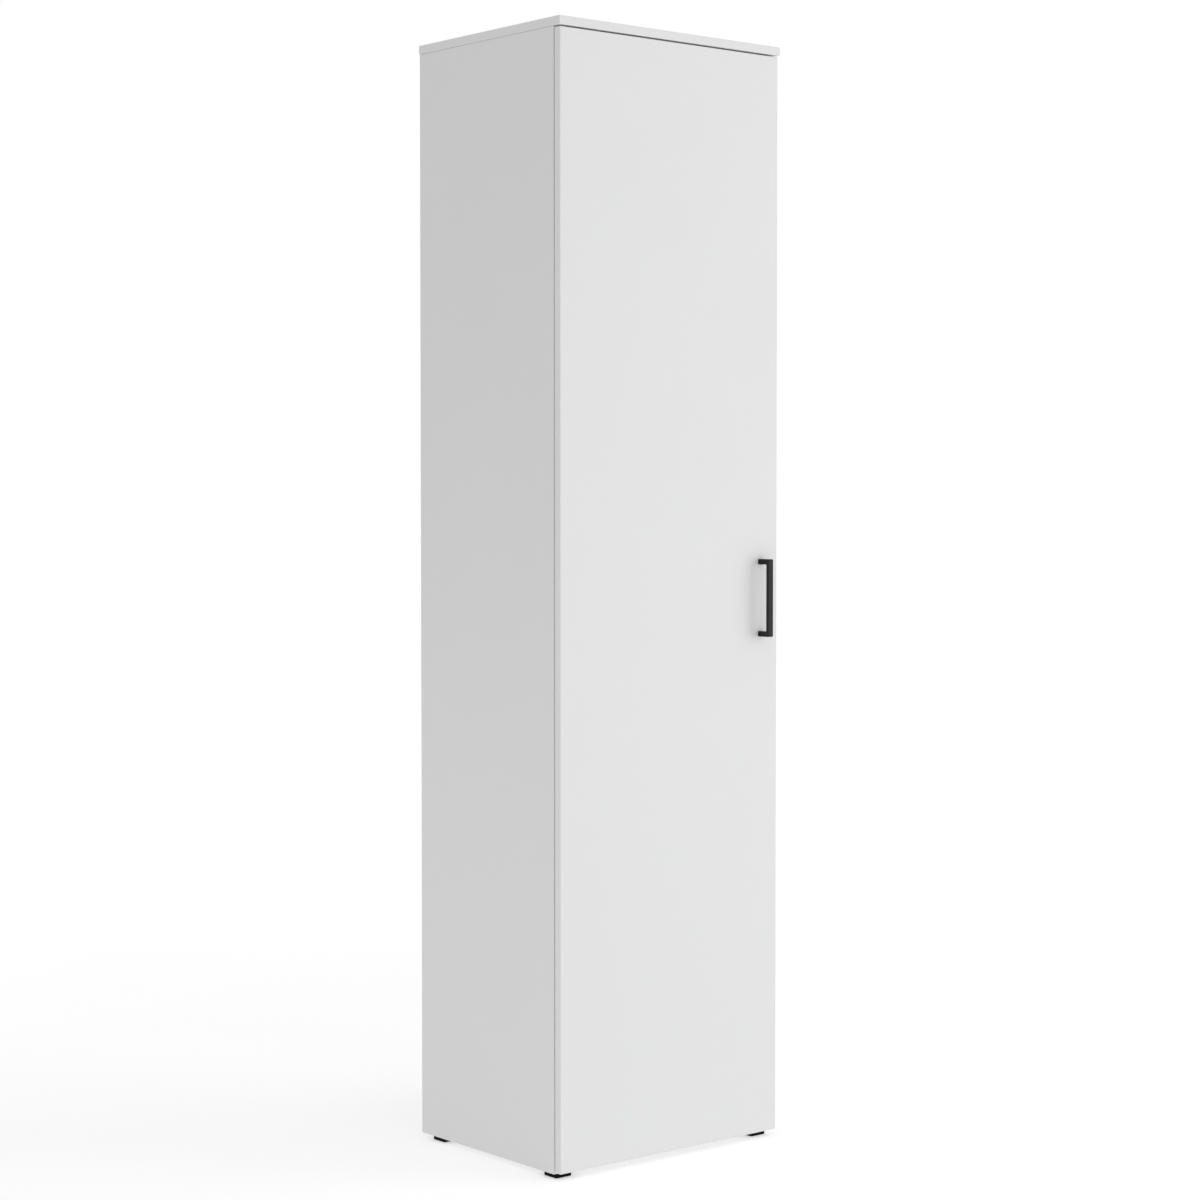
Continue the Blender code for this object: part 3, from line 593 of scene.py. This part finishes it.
def doorBoard():
    # bored for each hinge cup from behind, and drilled through for the handle's screws
    cutters, doorBack, reach = [], boxOf("door_panel")[1][1], boardSizes["screwHoleReach"]
    for place in hingePlaces:
        low, high, middle = boxOf(f"hinge_cup_{place}")
        centre, radius = (middle[0], low[1] - clearance, middle[2]), (high[0] - low[0]) / 2 + clearance
        end = doorBack - centre[1] + overrun
        cutters.append(cylinder(radius, 0.0, end, centre, (0, 1, 0), boardSizes["cupSides"]))
    radius, sides = boardSizes["screwHole"], boardSizes["holeSides"]
    for level in ("lower", "upper"):
        cutters.append(cylinder(radius, -reach, reach, boxOf(f"handle_screw_{level}")[2], (0, 1, 0), sides))
    boardPiece("door_panel", "door", cutters)


groove = grooveCutter()
for side in ("left", "right"):
    cutters = [groove] + pinHoleCutters(side) + camPockets(f"{side}_side_panel")
    boardPiece(f"{side}_side_panel", "cabinet", cutters)
boardPiece("top_panel", "cabinet", [groove])
for board in ("bottom_panel", "fixed_shelf"):
    boardPiece(board, "cabinet", camPockets(board))
for number in range(1, 5):
    boardPiece(f"adjustable_shelf_{number}", "cabinet")
doorBoard()
backShell = roundedBox(*boxOf("back_panel")[:2], boardSizes["backEdge"], 2)
addCoated("back_panel_board", [backShell], "whiteBackBoard", "cabinet", ["back_panel"])
print("boards made")


# screw heads with a crossed recess; the lines of the grid are shares of the radius
recess = {"armHalfWidth": 0.155, "armHalfLength": 0.615, "depthShare": 0.75, "crownShare": 0.25,
          "gridLines": (0.0, 0.14, 0.17, 0.4, 0.6, 0.63, 0.85, 0.96, 1.0)}


def screwHead(centre, radius, height, along):
    # A square grid (u, v) is bent to a disc: x = u * root(1 - v*v/2), y = v * root(1 - u*u/2).
    # The head rises as height * (1 - crown * r*r), less the recess where u and v fall in the cross.
    half = np.array(recess["gridLines"])
    line = np.concatenate([-half[:0:-1], half])
    u, v = np.meshgrid(line, line, indexing="ij")
    x, y = u * np.sqrt(1 - v * v / 2), v * np.sqrt(1 - u * u / 2)
    narrow, wide = np.minimum(np.abs(u), np.abs(v)), np.maximum(np.abs(u), np.abs(v))
    sunk = (narrow < recess["armHalfWidth"]) & (wide < recess["armHalfLength"])
    z = height * (1 - recess["crownShare"] * (x * x + y * y) - recess["depthShare"] * sunk)
    top = pointsFrom(x * radius, y * radius, z).reshape(-1, 3)
    edge = np.flatnonzero(wide.ravel() == half[-1])
    edge = edge[np.argsort(np.arctan2(top[edge, 1], top[edge, 0]))]
    below = len(top) + np.arange(len(edge))
    sides = np.stack([edge, below, np.roll(below, -1), np.roll(edge, -1)], -1)
    faces = gridFaces(len(line), len(line), wrapColumns=False) + sides.tolist() + [below.tolist()]
    along = np.array(along, float)
    across = np.roll(along, 1)
    axes = np.stack([across, np.cross(along, across), along])
    return np.concatenate([top, top[edge] * (1, 1, 0)]) @ axes + np.array(centre, float), faces


# handle
handleSizes = {
    "length": 0.1374,
    "holeSpacing": 0.128,
    "bar": 0.006,
    "corner": 0.0022,
    "cornerSteps": 8,
    "edge": 0.0009,
    "edgeSteps": 4,
    "straightSteps": 3,
    "seat": 0.0003,
}
handleScrew = {"head": 0.002, "shank": 0.002, "tip": (0.0015, 0.001), "intoHead": 0.0002, "sides": 24}


def handleShell():
    # An outer line and an inner line run up one leg, round its corner, along the bar and down again.
    # At each station the section is a rounded oblong that spans the two lines and the handle's width.
    low, high, centre = boxOf("handle")
    seat, corner, edge = handleSizes["seat"], handleSizes["corner"], handleSizes["edge"]
    reach = high[1] - low[1] + seat
    half, leg = handleSizes["length"] / 2, handleSizes["length"] - handleSizes["holeSpacing"]
    bend = arc(quarter, 0, handleSizes["cornerSteps"]) * corner
    along = np.linspace(0, 1, handleSizes["straightSteps"] + 1)[:-1, None]

    def sideLine(top, front):
        # straight from the seat to the corner, then the bend, and its mirror image down the other leg
        start, bendCentre = np.array([seat, top]), np.array([front - corner, top - corner])
        line = np.concatenate([start + along * (bendCentre + bend[0] - start), bendCentre + bend])
        return np.concatenate([line, line[::-1] * (1, -1)])

    outer, inner = sideLine(half, reach), sideLine(half - leg, reach - handleSizes["bar"])
    middle, span = (outer + inner) / 2, outer - inner
    halfSpan = np.linalg.norm(span, axis=1) / 2
    direction = span / (2 * halfSpan[:, None])
    section = roundedOutline(1.0, 1.0, 1.0, handleSizes["edgeSteps"])  # unit vectors round the corners
    signs = np.repeat(np.array([[1, 1], [-1, 1], [-1, -1], [1, -1]]), handleSizes["edgeSteps"] + 1, axis=0)
    across = signs[:, 0] * ((high[0] - low[0]) / 2 - edge) + edge * section[:, 0]
    through = signs[:, 1] * (halfSpan[:, None] - edge) + edge * section[:, 1]
    flat = middle[:, None] + through[..., None] * direction[:, None]
    return lofted(pointsFrom(centre[0] + across, high[1] + seat - flat[..., 0], centre[2] + flat[..., 1]))


def handleScrewPiece(node):
    # a shank that narrows at its tip, and the head behind the door
    low, high, middle = boxOf(node)
    headHeight, shank = handleScrew["head"], handleScrew["shank"]
    centre = (middle[0], high[1] - headHeight, middle[2])
    tip, (tipRadius, tipLength) = low[1] - centre[1], handleScrew["tip"]
    profile = [(tipRadius, tip), (shank, tip + tipLength), (shank, handleScrew["intoHead"])]
    shells = [screwHead(centre, (high[0] - low[0]) / 2, headHeight, (0, 1, 0)),
              turnedShell(profile, handleScrew["sides"], centre, (0, 1, 0))]
    addCoated(node + "_head", shells, "zincPlate", "door", [node])


addCoated("handle_bar", [handleShell()], "blackLacquer", "door", ["handle"])
for level in ("lower", "upper"):
    handleScrewPiece("handle_screw_" + level)
print("handle made")


# feet, each nailed through a well
footSizes = {
    "corner": 0.0024,
    "edge": 0.0008,
    "edgeSteps": 5,
    "draft": 0.0003,
    "well": 0.0065,
    "wellDepth": 0.004,
    "wellSides": 40,
    "nailProfile": ((0.0001, -0.0012), (0.002, -0.0011), (0.0036, -0.0007), (0.0042, 0.0)),
    "nailSides": 24,
}


def footPiece(node):
    # a rounded box whose sides are drawn in by draft * (top - z) / height, with a well and a nail underneath
    low, high, middle = boxOf(node)
    points, faces = roundedBox(low, high, footSizes["edge"], footSizes["edgeSteps"], footSizes["corner"])
    taper = (high[2] - points[:, 2]) / (high[2] - low[2]) * footSizes["draft"]
    points[:, :2] -= np.sign(points[:, :2] - middle[:2]) * taper[:, None]
    depth, mouth = footSizes["wellDepth"], (*middle[:2], low[2])
    well = cylinder(footSizes["well"], -overrun, depth, mouth, (0, 0, 1), footSizes["wellSides"])
    nailPlace = (*middle[:2], low[2] + depth)
    nail = turnedShell(footSizes["nailProfile"], footSizes["nailSides"], nailPlace, (0, 0, 1))
    addCoated(node + "_glide", [(points, faces)], "blackPlastic", "cabinet", [node], [well])
    addCoated(node + "_nail", [nail], "zincPlate", "cabinet", [])


for node in frame["nodes"]:
    if node.startswith("foot_"):
        footPiece(node)
print("feet made")


# hinges: the cup in the door, the link between the two pins, the arm and its plate on the side panel
hingePins = {"radius": 0.0009, "eye": 0.0020, "sides": 24}
joints = {joint["name"]: joint for joint in frame["joints"]}
armPin, cupPin = (np.array(joints[name]["pos_m"][:2]) for name in ("link_swing", "door_swing"))


def hingePin(place, height, halfLength):
    centre = (*place, height)
    return cylinder(hingePins["radius"], -halfLength, halfLength, centre, (0, 0, 1), hingePins["sides"])


cupSizes = {
    "sides": 64,
    "wall": 0.0009,
    "fillet": 0.0022,
    "filletSteps": 6,
    "axis": 0.0002,
    "innerLip": (0.0002, 0.0004),
    "outerLip": 0.0003,
    "flangeRadius": 0.0171,
    "flangeReach": 0.024,  # from the cup's centre to each screw
    "flangeTip": 0.0070,
    "flangePlate": 0.0010,
    "flangeBevel": 0.0004,
    "flangePoints": 160,
    "rimProud": 0.0003,
    "screwProud": 0.0006,
    "screwRadius": 0.0034,
    "pinInset": 0.0004,
}


def flangeOutline(angle):
    # Radius of the hull of the cup's rim and two round tips, seen from the cup's centre. By symmetry the angle
    # is taken from the nearest tip: the tip's far side, then the straight flank, then the rim.
    big, tip, reach = cupSizes["flangeRadius"], cupSizes["flangeTip"], cupSizes["flangeReach"]
    flank = math.acos((big - tip) / reach)
    tipEnd = math.atan2(tip * math.sin(flank), reach + tip * math.cos(flank))
    folded = np.minimum(angle % math.pi, math.pi - angle % math.pi)
    onTip = reach * np.cos(folded) + np.sqrt(np.maximum(tip ** 2 - (reach * np.sin(folded)) ** 2, 0))
    onFlank = big / np.cos(np.minimum(folded, flank) - flank)
    return np.where(folded < tipEnd, onTip, np.where(folded < flank, onFlank, big))


def cupShells(low, high):
    # Own axes: Z out of the cup, X along the flange. The wall is one closed profile turned about Z. The flange
    # is a flat section carried round, from the cup's inside to the outline's radius.
    top = high[1] - low[1] - cupSizes["screwProud"]
    depth, radius = top + cupSizes["rimProud"], (high[0] - low[0]) / 2
    axis, wall, lip = cupSizes["axis"], cupSizes["wall"], cupSizes["outerLip"]
    hole, (lipWidth, lipDepth) = radius - wall, cupSizes["innerLip"]
    bend = (arc(quarter, 0, cupSizes["filletSteps"]) - 1) * (1, -1) * cupSizes["fillet"]
    profile = np.concatenate([
        [(axis, wall)], bend + (hole, wall),
        [(hole, depth - lipDepth), (hole + lipWidth, depth), (radius - lip, depth), (radius, depth - lip)],
        bend[::-1] + (radius, 0.0), [(axis, 0.0)],
    ])
    cup = turnedShell(profile, cupSizes["sides"], (0, 0, 0), (0, 0, 1))
    angle = np.linspace(0, 2 * math.pi, cupSizes["flangePoints"], endpoint=False)
    outer, bevel, under = flangeOutline(angle), cupSizes["flangeBevel"], top - cupSizes["flangePlate"]
    inner = np.full_like(outer, hole)
    radial = np.stack([inner, inner, outer - bevel, outer, outer])
    height = np.array([under, top, top, top - bevel, under])[:, None]
    flange = lofted(pointsFrom(radial * np.cos(angle), radial * np.sin(angle), height), wrapRows=True)
    screws = [screwHead((side * cupSizes["flangeReach"], 0, top), cupSizes["screwRadius"],
                        cupSizes["screwProud"], (0, 0, 1)) for side in (-1, 1)]
    return [cup, flange] + screws


def cupPiece(node):
    # the pin's half length = root(r * r - d * d), with d its far side's distance from the cup's middle
    low, high, middle = boxOf(node)
    shells = [turnAxes(shell, (2, 0, 1), (middle[0], low[1], middle[2])) for shell in cupShells(low, high)]
    radius = (high[0] - low[0]) / 2 - cupSizes["pinInset"]
    halfPin = math.sqrt(radius ** 2 - (abs(middle[0] - cupPin[0]) + hingePins["radius"]) ** 2)
    shells.append(hingePin(cupPin, middle[2], halfPin))
    addCoated(node + "_stamping", shells, "nickelPlate", "door", [node])


linkSizes = {"bar": 0.0026, "bow": 0.0022, "eyeSteps": 20, "bowSteps": 14}


def linkPiece(node):
    # the outline: an eye round each pin, joined by two lines bowed as bow * (1 - (2 s - 1)^2)
    low, high, middle = boxOf(node)
    length = np.linalg.norm(cupPin - armPin)
    half, eye = linkSizes["bar"] / 2, hingePins["eye"]
    opening = math.asin(half / eye)
    near = arc(opening, 2 * math.pi - opening, linkSizes["eyeSteps"]) * eye
    far = np.array([length, 0]) - near
    start, share = eye * math.cos(opening), np.linspace(0, 1, linkSizes["bowSteps"] + 1)[1:-1]
    bow = linkSizes["bow"] * (1 - (2 * share - 1) ** 2)
    along = start + share * (length - 2 * start)
    lower, upper = np.stack([along, bow - half], -1), np.stack([along, bow + half], -1)[::-1]
    forward = (cupPin - armPin) / length
    axes = np.array([forward, [-forward[1], forward[0]]])
    outline = np.concatenate([near, lower, far, upper]) @ axes + armPin
    bar = lofted(pointsFrom(outline[:, 0], outline[:, 1], np.array([[low[2]], [high[2]]])))
    addCoated(node + "_bar", [bar], "nickelPlate", "hinge_links", [node])


armSizes = {
    "metal": 0.0013,
    "edge": 0.0011,
    "edgeSteps": 4,
    "tipStations": (0.003, 6),  # how far back the nose's stations reach, and how many
    "bodyStations": (0.005, 16),
    "noseBack": 0.008,  # behind the carcass's front: where the walls start to deepen
    "neckBack": 0.020,  # and where they are full
    "noseWall": 0.0003,
    "tipRound": 0.0023,
    "tipLift": 0.0015,
    "pinInset": 0.0006,
    "screws": ((0.024, 0.0034), (0.047, 0.0040)),  # side and depth adjusting screws: place back and radius
    "screwHeight": 0.0008,
    "screwSunk": 0.0001,
}


def armShell(low, high, middle):
    # A channel: at each station along Y the ring is a U, whose two walls reach down by a depth that is small at
    # the nose and full at the back, and whose web dips a little at the nose.
    (tipEnd, tipCount), (bodyStart, bodyCount) = armSizes["tipStations"], armSizes["bodyStations"]
    stations = np.concatenate([np.linspace(low[1], low[1] + tipEnd, tipCount),
                               np.linspace(low[1] + bodyStart, high[1], bodyCount)])
    noseBack, neckBack = armSizes["noseBack"], armSizes["neckBack"]
    lean = np.clip((stations - carcassFront - noseBack) / (neckBack - noseBack), 0, 1)
    noseFloor = armPin[0] - hingePins["eye"] - armSizes["noseWall"]
    floorX = noseFloor + (low[0] - noseFloor) * (lean * lean * (3 - 2 * lean))
    fromTip = np.clip((stations - low[1]) / armSizes["tipRound"], 0, 1)
    rounding = armSizes["tipRound"] * (1 - np.sqrt(1 - (1 - fromTip) ** 2))
    floorX, topX = floorX + np.minimum(rounding, armSizes["tipLift"]), high[0] - rounding
    halfZ, metal, edge = (high[2] - low[2]) / 2, armSizes["metal"], armSizes["edge"]
    # outer wall up, rounded shoulder, web, other shoulder, outer wall down, then back along the inside
    shoulder, inner = arc(0, quarter, armSizes["edgeSteps"]), halfZ - metal
    shoulderZ, belowTop = halfZ - edge + edge * shoulder[:, 0], edge * shoulder[:, 1] - edge
    z = np.concatenate([[halfZ], shoulderZ, -shoulderZ[::-1], [-halfZ, -inner, -inner, inner, inner]])
    onFloor = np.nan
    fromTop = np.concatenate([[onFloor], belowTop, belowTop[::-1], [onFloor, onFloor, -metal, -metal, onFloor]])
    x = np.where(np.isnan(fromTop), floorX[:, None], topX[:, None] + fromTop)
    return lofted(pointsFrom(x, stations[:, None], z + middle[2]))


def armPiece(node):
    # the channel, its pin from wall to wall, and two adjusting screws on the web
    low, high, middle = boxOf(node)
    halfPin = (high[2] - low[2]) / 2 - armSizes["pinInset"]
    shells = [armShell(low, high, middle), hingePin(armPin, middle[2], halfPin)]
    for back, radius in armSizes["screws"]:
        centre = (high[0] - armSizes["screwSunk"], carcassFront + back, middle[2])
        shells.append(screwHead(centre, radius, armSizes["screwHeight"], (1, 0, 0)))
    addCoated(node + "_channel", shells, "nickelPlate", "cabinet", [node])


def roundedPolygon(corners, radius, steps=5):
    # each corner gives way to an arc: the curve a*(1-t)^2 + 2*c*t*(1-t) + b*t^2 between points a radius away
    before, after = np.roll(corners, 1, 0) - corners, np.roll(corners, -1, 0) - corners
    before /= np.linalg.norm(before, axis=1)[:, None]
    after /= np.linalg.norm(after, axis=1)[:, None]
    t = np.linspace(0, 1, steps + 1)[None, :, None]
    a, b, c = (corners + before * radius)[:, None], (corners + after * radius)[:, None], corners[:, None]
    return (a * (1 - t) ** 2 + 2 * c * t * (1 - t) + b * t * t).reshape(-1, 2)


plateSizes = {
    "metal": 0.0020,
    "halfDepth": 0.015,
    "halfBody": 0.0105,
    "halfWing": 0.0085,
    "corner": 0.0022,
    "bevel": 0.0004,
    "railHalf": 0.0058,
    "railEdge": 0.0007,
    "railLift": 0.0001,
    "screwSpacing": 0.032,
    "screwRadius": 0.0041,
    "screwHeight": 0.0015,
}


def platePiece(node):
    # a crossed plate flat on the side panel, with two wings for its screws and a rail under the arm
    low, high, middle = boxOf(node)
    deep, body, wing = plateSizes["halfDepth"], plateSizes["halfBody"], plateSizes["halfWing"]
    metal, bevel, railHalf = plateSizes["metal"], plateSizes["bevel"], plateSizes["railHalf"]
    face, line, long = low[0], low[1] + deep, (high[2] - low[2]) / 2
    halfCross = [(deep, -body), (deep, body), (wing, body), (wing, long), (-wing, long), (-wing, body)]
    outline = roundedPolygon(np.concatenate([halfCross, -np.array(halfCross)]), plateSizes["corner"])
    inset = outline * (1 - bevel / np.linalg.norm(outline, axis=1))[:, None]
    flat = np.stack([outline, outline, inset])
    shell = lofted(pointsFrom(flat[..., 0], flat[..., 1], np.array([[0.0], [metal - bevel], [metal]])))
    plate = turnAxes(shell, (1, 2, 0), (face, line, middle[2]))
    rail = roundedBox((face + plateSizes["railLift"], low[1], middle[2] - railHalf),
                      (high[0], high[1], middle[2] + railHalf), plateSizes["railEdge"], 3)
    screws = [screwHead((face + metal, line, middle[2] + side * plateSizes["screwSpacing"] / 2),
                        plateSizes["screwRadius"], plateSizes["screwHeight"], (1, 0, 0)) for side in (-1, 1)]
    shells = [plate, rail] + screws
    addCoated(node + "_cross", shells, "nickelPlate", "cabinet", [node])


for place in hingePlaces:
    cupPiece("hinge_cup_" + place)
    linkPiece("hinge_link_" + place)
    armPiece("hinge_arm_" + place)
    platePiece("hinge_plate_" + place)
print("hinges made")


# small fittings
pinSizes = {
    "sides": 28,
    "tip": (0.0020, 0.0006),  # radius and length
    "shank": 0.0025,
    "collar": (0.0083, 0.0095),  # from and to, along the pin
    "neck": (0.0098, 0.0102),
    "neckDepth": 0.0004,
    "headStart": 0.0105,
    "nose": 0.0010,
    "noseSteps": 4,
}


def shelfPinPiece(node):
    # turned: shank in the hole, a small collar at the panel, then the head, whose nose is a quarter round
    low, high, middle = boxOf(node)
    base, along = (low[0], (1, 0, 0)) if middle[0] < 0 else (high[0], (-1, 0, 0))
    head, shank, (tip, tipEnd) = (high[2] - low[2]) / 2, pinSizes["shank"], pinSizes["tip"]
    (collarStart, collarEnd), (neckStart, neckEnd) = pinSizes["collar"], pinSizes["neck"]
    neck = head - pinSizes["neckDepth"]
    nose = (head, high[0] - low[0]) + pinSizes["nose"] * (arc(0, quarter, pinSizes["noseSteps"]) - 1)
    profile = [(tip, 0.0), (shank, tipEnd), (shank, collarStart), (head, collarStart), (head, collarEnd),
               (neck, neckStart), (neck, neckEnd), (head, pinSizes["headStart"]), *nose]
    peg = turnedShell(profile, pinSizes["sides"], (base, *middle[1:]), along)
    addCoated(node + "_peg", [peg], "nickelPlate", "cabinet", [node])


def camPiece(name, place, normal, radius, depth, nodes):
    # a drum sunk in its pocket, its crossed face just under the board's own
    normal = np.array(normal, float)
    drum = cylinder(radius, -depth, -camSizes["face"], place, normal, camSizes["sides"])
    face = screwHead(np.array(place) - camSizes["sunk"] * normal, radius, camSizes["face"], normal)
    addCoated(name, [drum, face], "zincPlate", "cabinet", nodes)


bumperSizes = {"sides": 32, "steps": 7, "flattening": 0.9, "flatLeast": 0.02, "rimShare": 0.35}


def bumperPiece(node):
    # a dome: at share s its radius is root(1 - flattening * s*s), and its height rises from the rim as sine(s)
    low, high, middle = boxOf(node)
    radius, height, rim = (high[2] - low[2]) / 2, high[1] - low[1], bumperSizes["rimShare"]
    share = np.linspace(0, 1, bumperSizes["steps"] + 1)
    flattened = np.maximum(1 - bumperSizes["flattening"] * share ** 2, bumperSizes["flatLeast"])
    raised = height * (rim + (1 - rim) * np.sin(share * quarter))
    profile = [(radius, 0.0), *zip(radius * np.sqrt(flattened), raised)]
    dome = turnedShell(profile, bumperSizes["sides"], (middle[0], high[1], middle[2]), (0, -1, 0))
    addCoated(node + "_dome", [dome], "clearBumper", "cabinet", [node])


bracketSizes = {
    "metal": 0.002,
    "bend": 0.0025,
    "bendSteps": 6,
    "edge": 0.0004,
    "edgeSteps": 3,
    "hole": 0.0026,
    "holeReach": 0.006,
    "holeInset": 0.001,
    "holeSides": 32,
    "fromEnd": 0.015,  # to the hole from the top, and to the screw from the front
    "screwRadius": 0.0042,
    "screwHeight": 0.0018,
}


def bracketPiece():
    # an oblong section carried along the top leg, round the bend and down the upright
    low, high, centre = boxOf("wall_bracket")
    (back, top), (front, bottom) = high[1:], low[1:]
    metal, bend, fromEnd = bracketSizes["metal"], bracketSizes["bend"], bracketSizes["fromEnd"]
    turn, reach = arc(quarter, 0, bracketSizes["bendSteps"]), bracketSizes["holeReach"]
    pivot = high[1:] - bend
    outer = np.concatenate([[(front, top)], pivot + bend * turn, [(back, bottom)]])
    inner = np.concatenate([[(front, top - metal)], pivot + (bend - metal) * turn, [(back - metal, bottom)]])
    middle, direction = (outer + inner) / 2, (outer - inner) / metal
    section = roundedOutline((high[0] - low[0]) / 2, metal / 2, bracketSizes["edge"], bracketSizes["edgeSteps"])
    flat = middle[:, None] + section[:, 1, None] * direction[:, None]
    angle = lofted(pointsFrom(section[:, 0] + centre[0], flat[..., 0], flat[..., 1]))
    hole = cylinder(bracketSizes["hole"], -reach, reach, (0, back - bracketSizes["holeInset"], top - fromEnd),
                    (0, 1, 0), bracketSizes["holeSides"])
    screw = screwHead((0, front + fromEnd, top - metal), bracketSizes["screwRadius"],
                      bracketSizes["screwHeight"], (0, 0, -1))
    addCoated("wall_bracket_angle", [angle], "zincPlate", "cabinet", ["wall_bracket"], [hole])
    addCoated("wall_bracket_screw", [screw], "zincPlate", "cabinet", [])


for node in sorted(frame["nodes"]):
    if "_pin_" in node:
        shelfPinPiece(node)
    elif node.startswith("door_bumper_"):
        bumperPiece(node)
for cams in camsOf.values():
    for cam in cams:
        camPiece(*cam)
bracketPiece()
print("small fittings made")


# floor and light
studio = {
    "floorHalf": 9.0,
    "floorCells": 12,
    "floorDrop": 0.0004,
    "floorColours": ((0.86, 0.86, 0.86), (0.84, 0.84, 0.84)),
    "floorRough": 0.85,
    "floorSpecular": 0.1,
    "cloudSize": 1.5,
    "streakSize": 0.1,
    "nearGlow": 0.37,  # the floor's own light under the cabinet
    "farGlow": 0.46,  # and where it meets the backdrop
    "glowReach": (1.2, 4.5),
    "skyLevel": 0.335,
    "skySlope": 0.21,
    "skyRise": 0.80,  # added straight overhead
    "skyTowards": (-0.35, -0.94, 0.0),  # brighter in front and a little to the left
    "backdrop": 1.0,
}
softbox = {"place": (5.0, -4.6, 2.2), "aim": (0.0, 0.0, 0.95), "size": 4.5, "power": 105.0}


def studioFloor():
    # a flat grid; its own light grows with the distance from the cabinet, so no horizon shows
    line = np.linspace(-studio["floorHalf"], studio["floorHalf"], studio["floorCells"] + 1)
    points = pointsFrom(*np.meshgrid(line, line), -studio["floorDrop"]).reshape(-1, 3)
    mesh = bpy.data.meshes.new("studioFloor")
    mesh.from_pydata(points.tolist(), [], gridFaces(len(line), len(line), wrapColumns=False))
    material, tree, shader, position = newMaterial("paleFloor")
    marks = placeGroup(tree, "marks", position, studio)["marks"]
    far = rangeNode(tree, vectorNode(tree, "LENGTH", position, output=1), *studio["glowReach"])
    glow = mixColours(tree, far, (studio["nearGlow"],) * 3, (studio["farGlow"],) * 3)
    feed(tree, shader, {"Base Color": mixColours(tree, marks, *studio["floorColours"]),
                        "Roughness": studio["floorRough"], "Specular IOR Level": studio["floorSpecular"],
                        "Emission Color": glow, "Emission Strength": 1.0})
    mesh.materials.append(material)
    floor = bpy.data.objects.new("studioFloor", mesh)
    bpy.context.scene.collection.objects.link(floor)


def studioWorld():
    # level = skyLevel + skySlope * (direction . skyTowards) + skyRise * height; the camera sees plain white
    world = bpy.data.worlds.new("studioWorld")
    bpy.context.scene.world = world
    world.use_nodes = True
    tree = world.node_tree
    tree.nodes.clear()
    direction = addNode(tree, "ShaderNodeTexCoord").outputs["Generated"]
    facing = vectorNode(tree, "DOT_PRODUCT", direction, studio["skyTowards"], output=1)
    height = mathNode(tree, "MAXIMUM", splitNode(tree, direction)[2], 0.0)
    level = mathNode(tree, "MULTIPLY_ADD", facing, studio["skySlope"], studio["skyLevel"])
    level = mathNode(tree, "MULTIPLY_ADD", height, studio["skyRise"], level)
    light = addNode(tree, "ShaderNodeBackground", {"Strength": level})
    seen = addNode(tree, "ShaderNodeBackground", {"Color": (1.0, 1.0, 1.0), "Strength": studio["backdrop"]})
    cameraRay = addNode(tree, "ShaderNodeLightPath").outputs["Is Camera Ray"]
    mix = addNode(tree, "ShaderNodeMixShader", {0: cameraRay, 1: light.outputs[0], 2: seen.outputs[0]})
    addNode(tree, "ShaderNodeOutputWorld", {"Surface": mix.outputs[0]})


def placeSoftbox():
    # at the front right, turned so that its face looks from its place to its aim
    data = bpy.data.lights.new("rightSoftbox", "AREA")
    data.shape = "SQUARE"
    data.size = softbox["size"]
    data.energy = softbox["power"]
    light = bpy.data.objects.new("rightSoftbox", data)
    light.visible_camera = False
    light.location = softbox["place"]
    away = np.array(softbox["place"]) - np.array(softbox["aim"])
    tilt, turn = math.atan2(math.hypot(away[0], away[1]), away[2]), math.atan2(away[1], away[0]) + quarter
    light.rotation_euler = (tilt, 0, turn)
    bpy.context.scene.collection.objects.link(light)


studioFloor()
studioWorld()
placeSoftbox()
bpy.context.scene.view_settings.view_transform = "Standard"
print("studio lit")
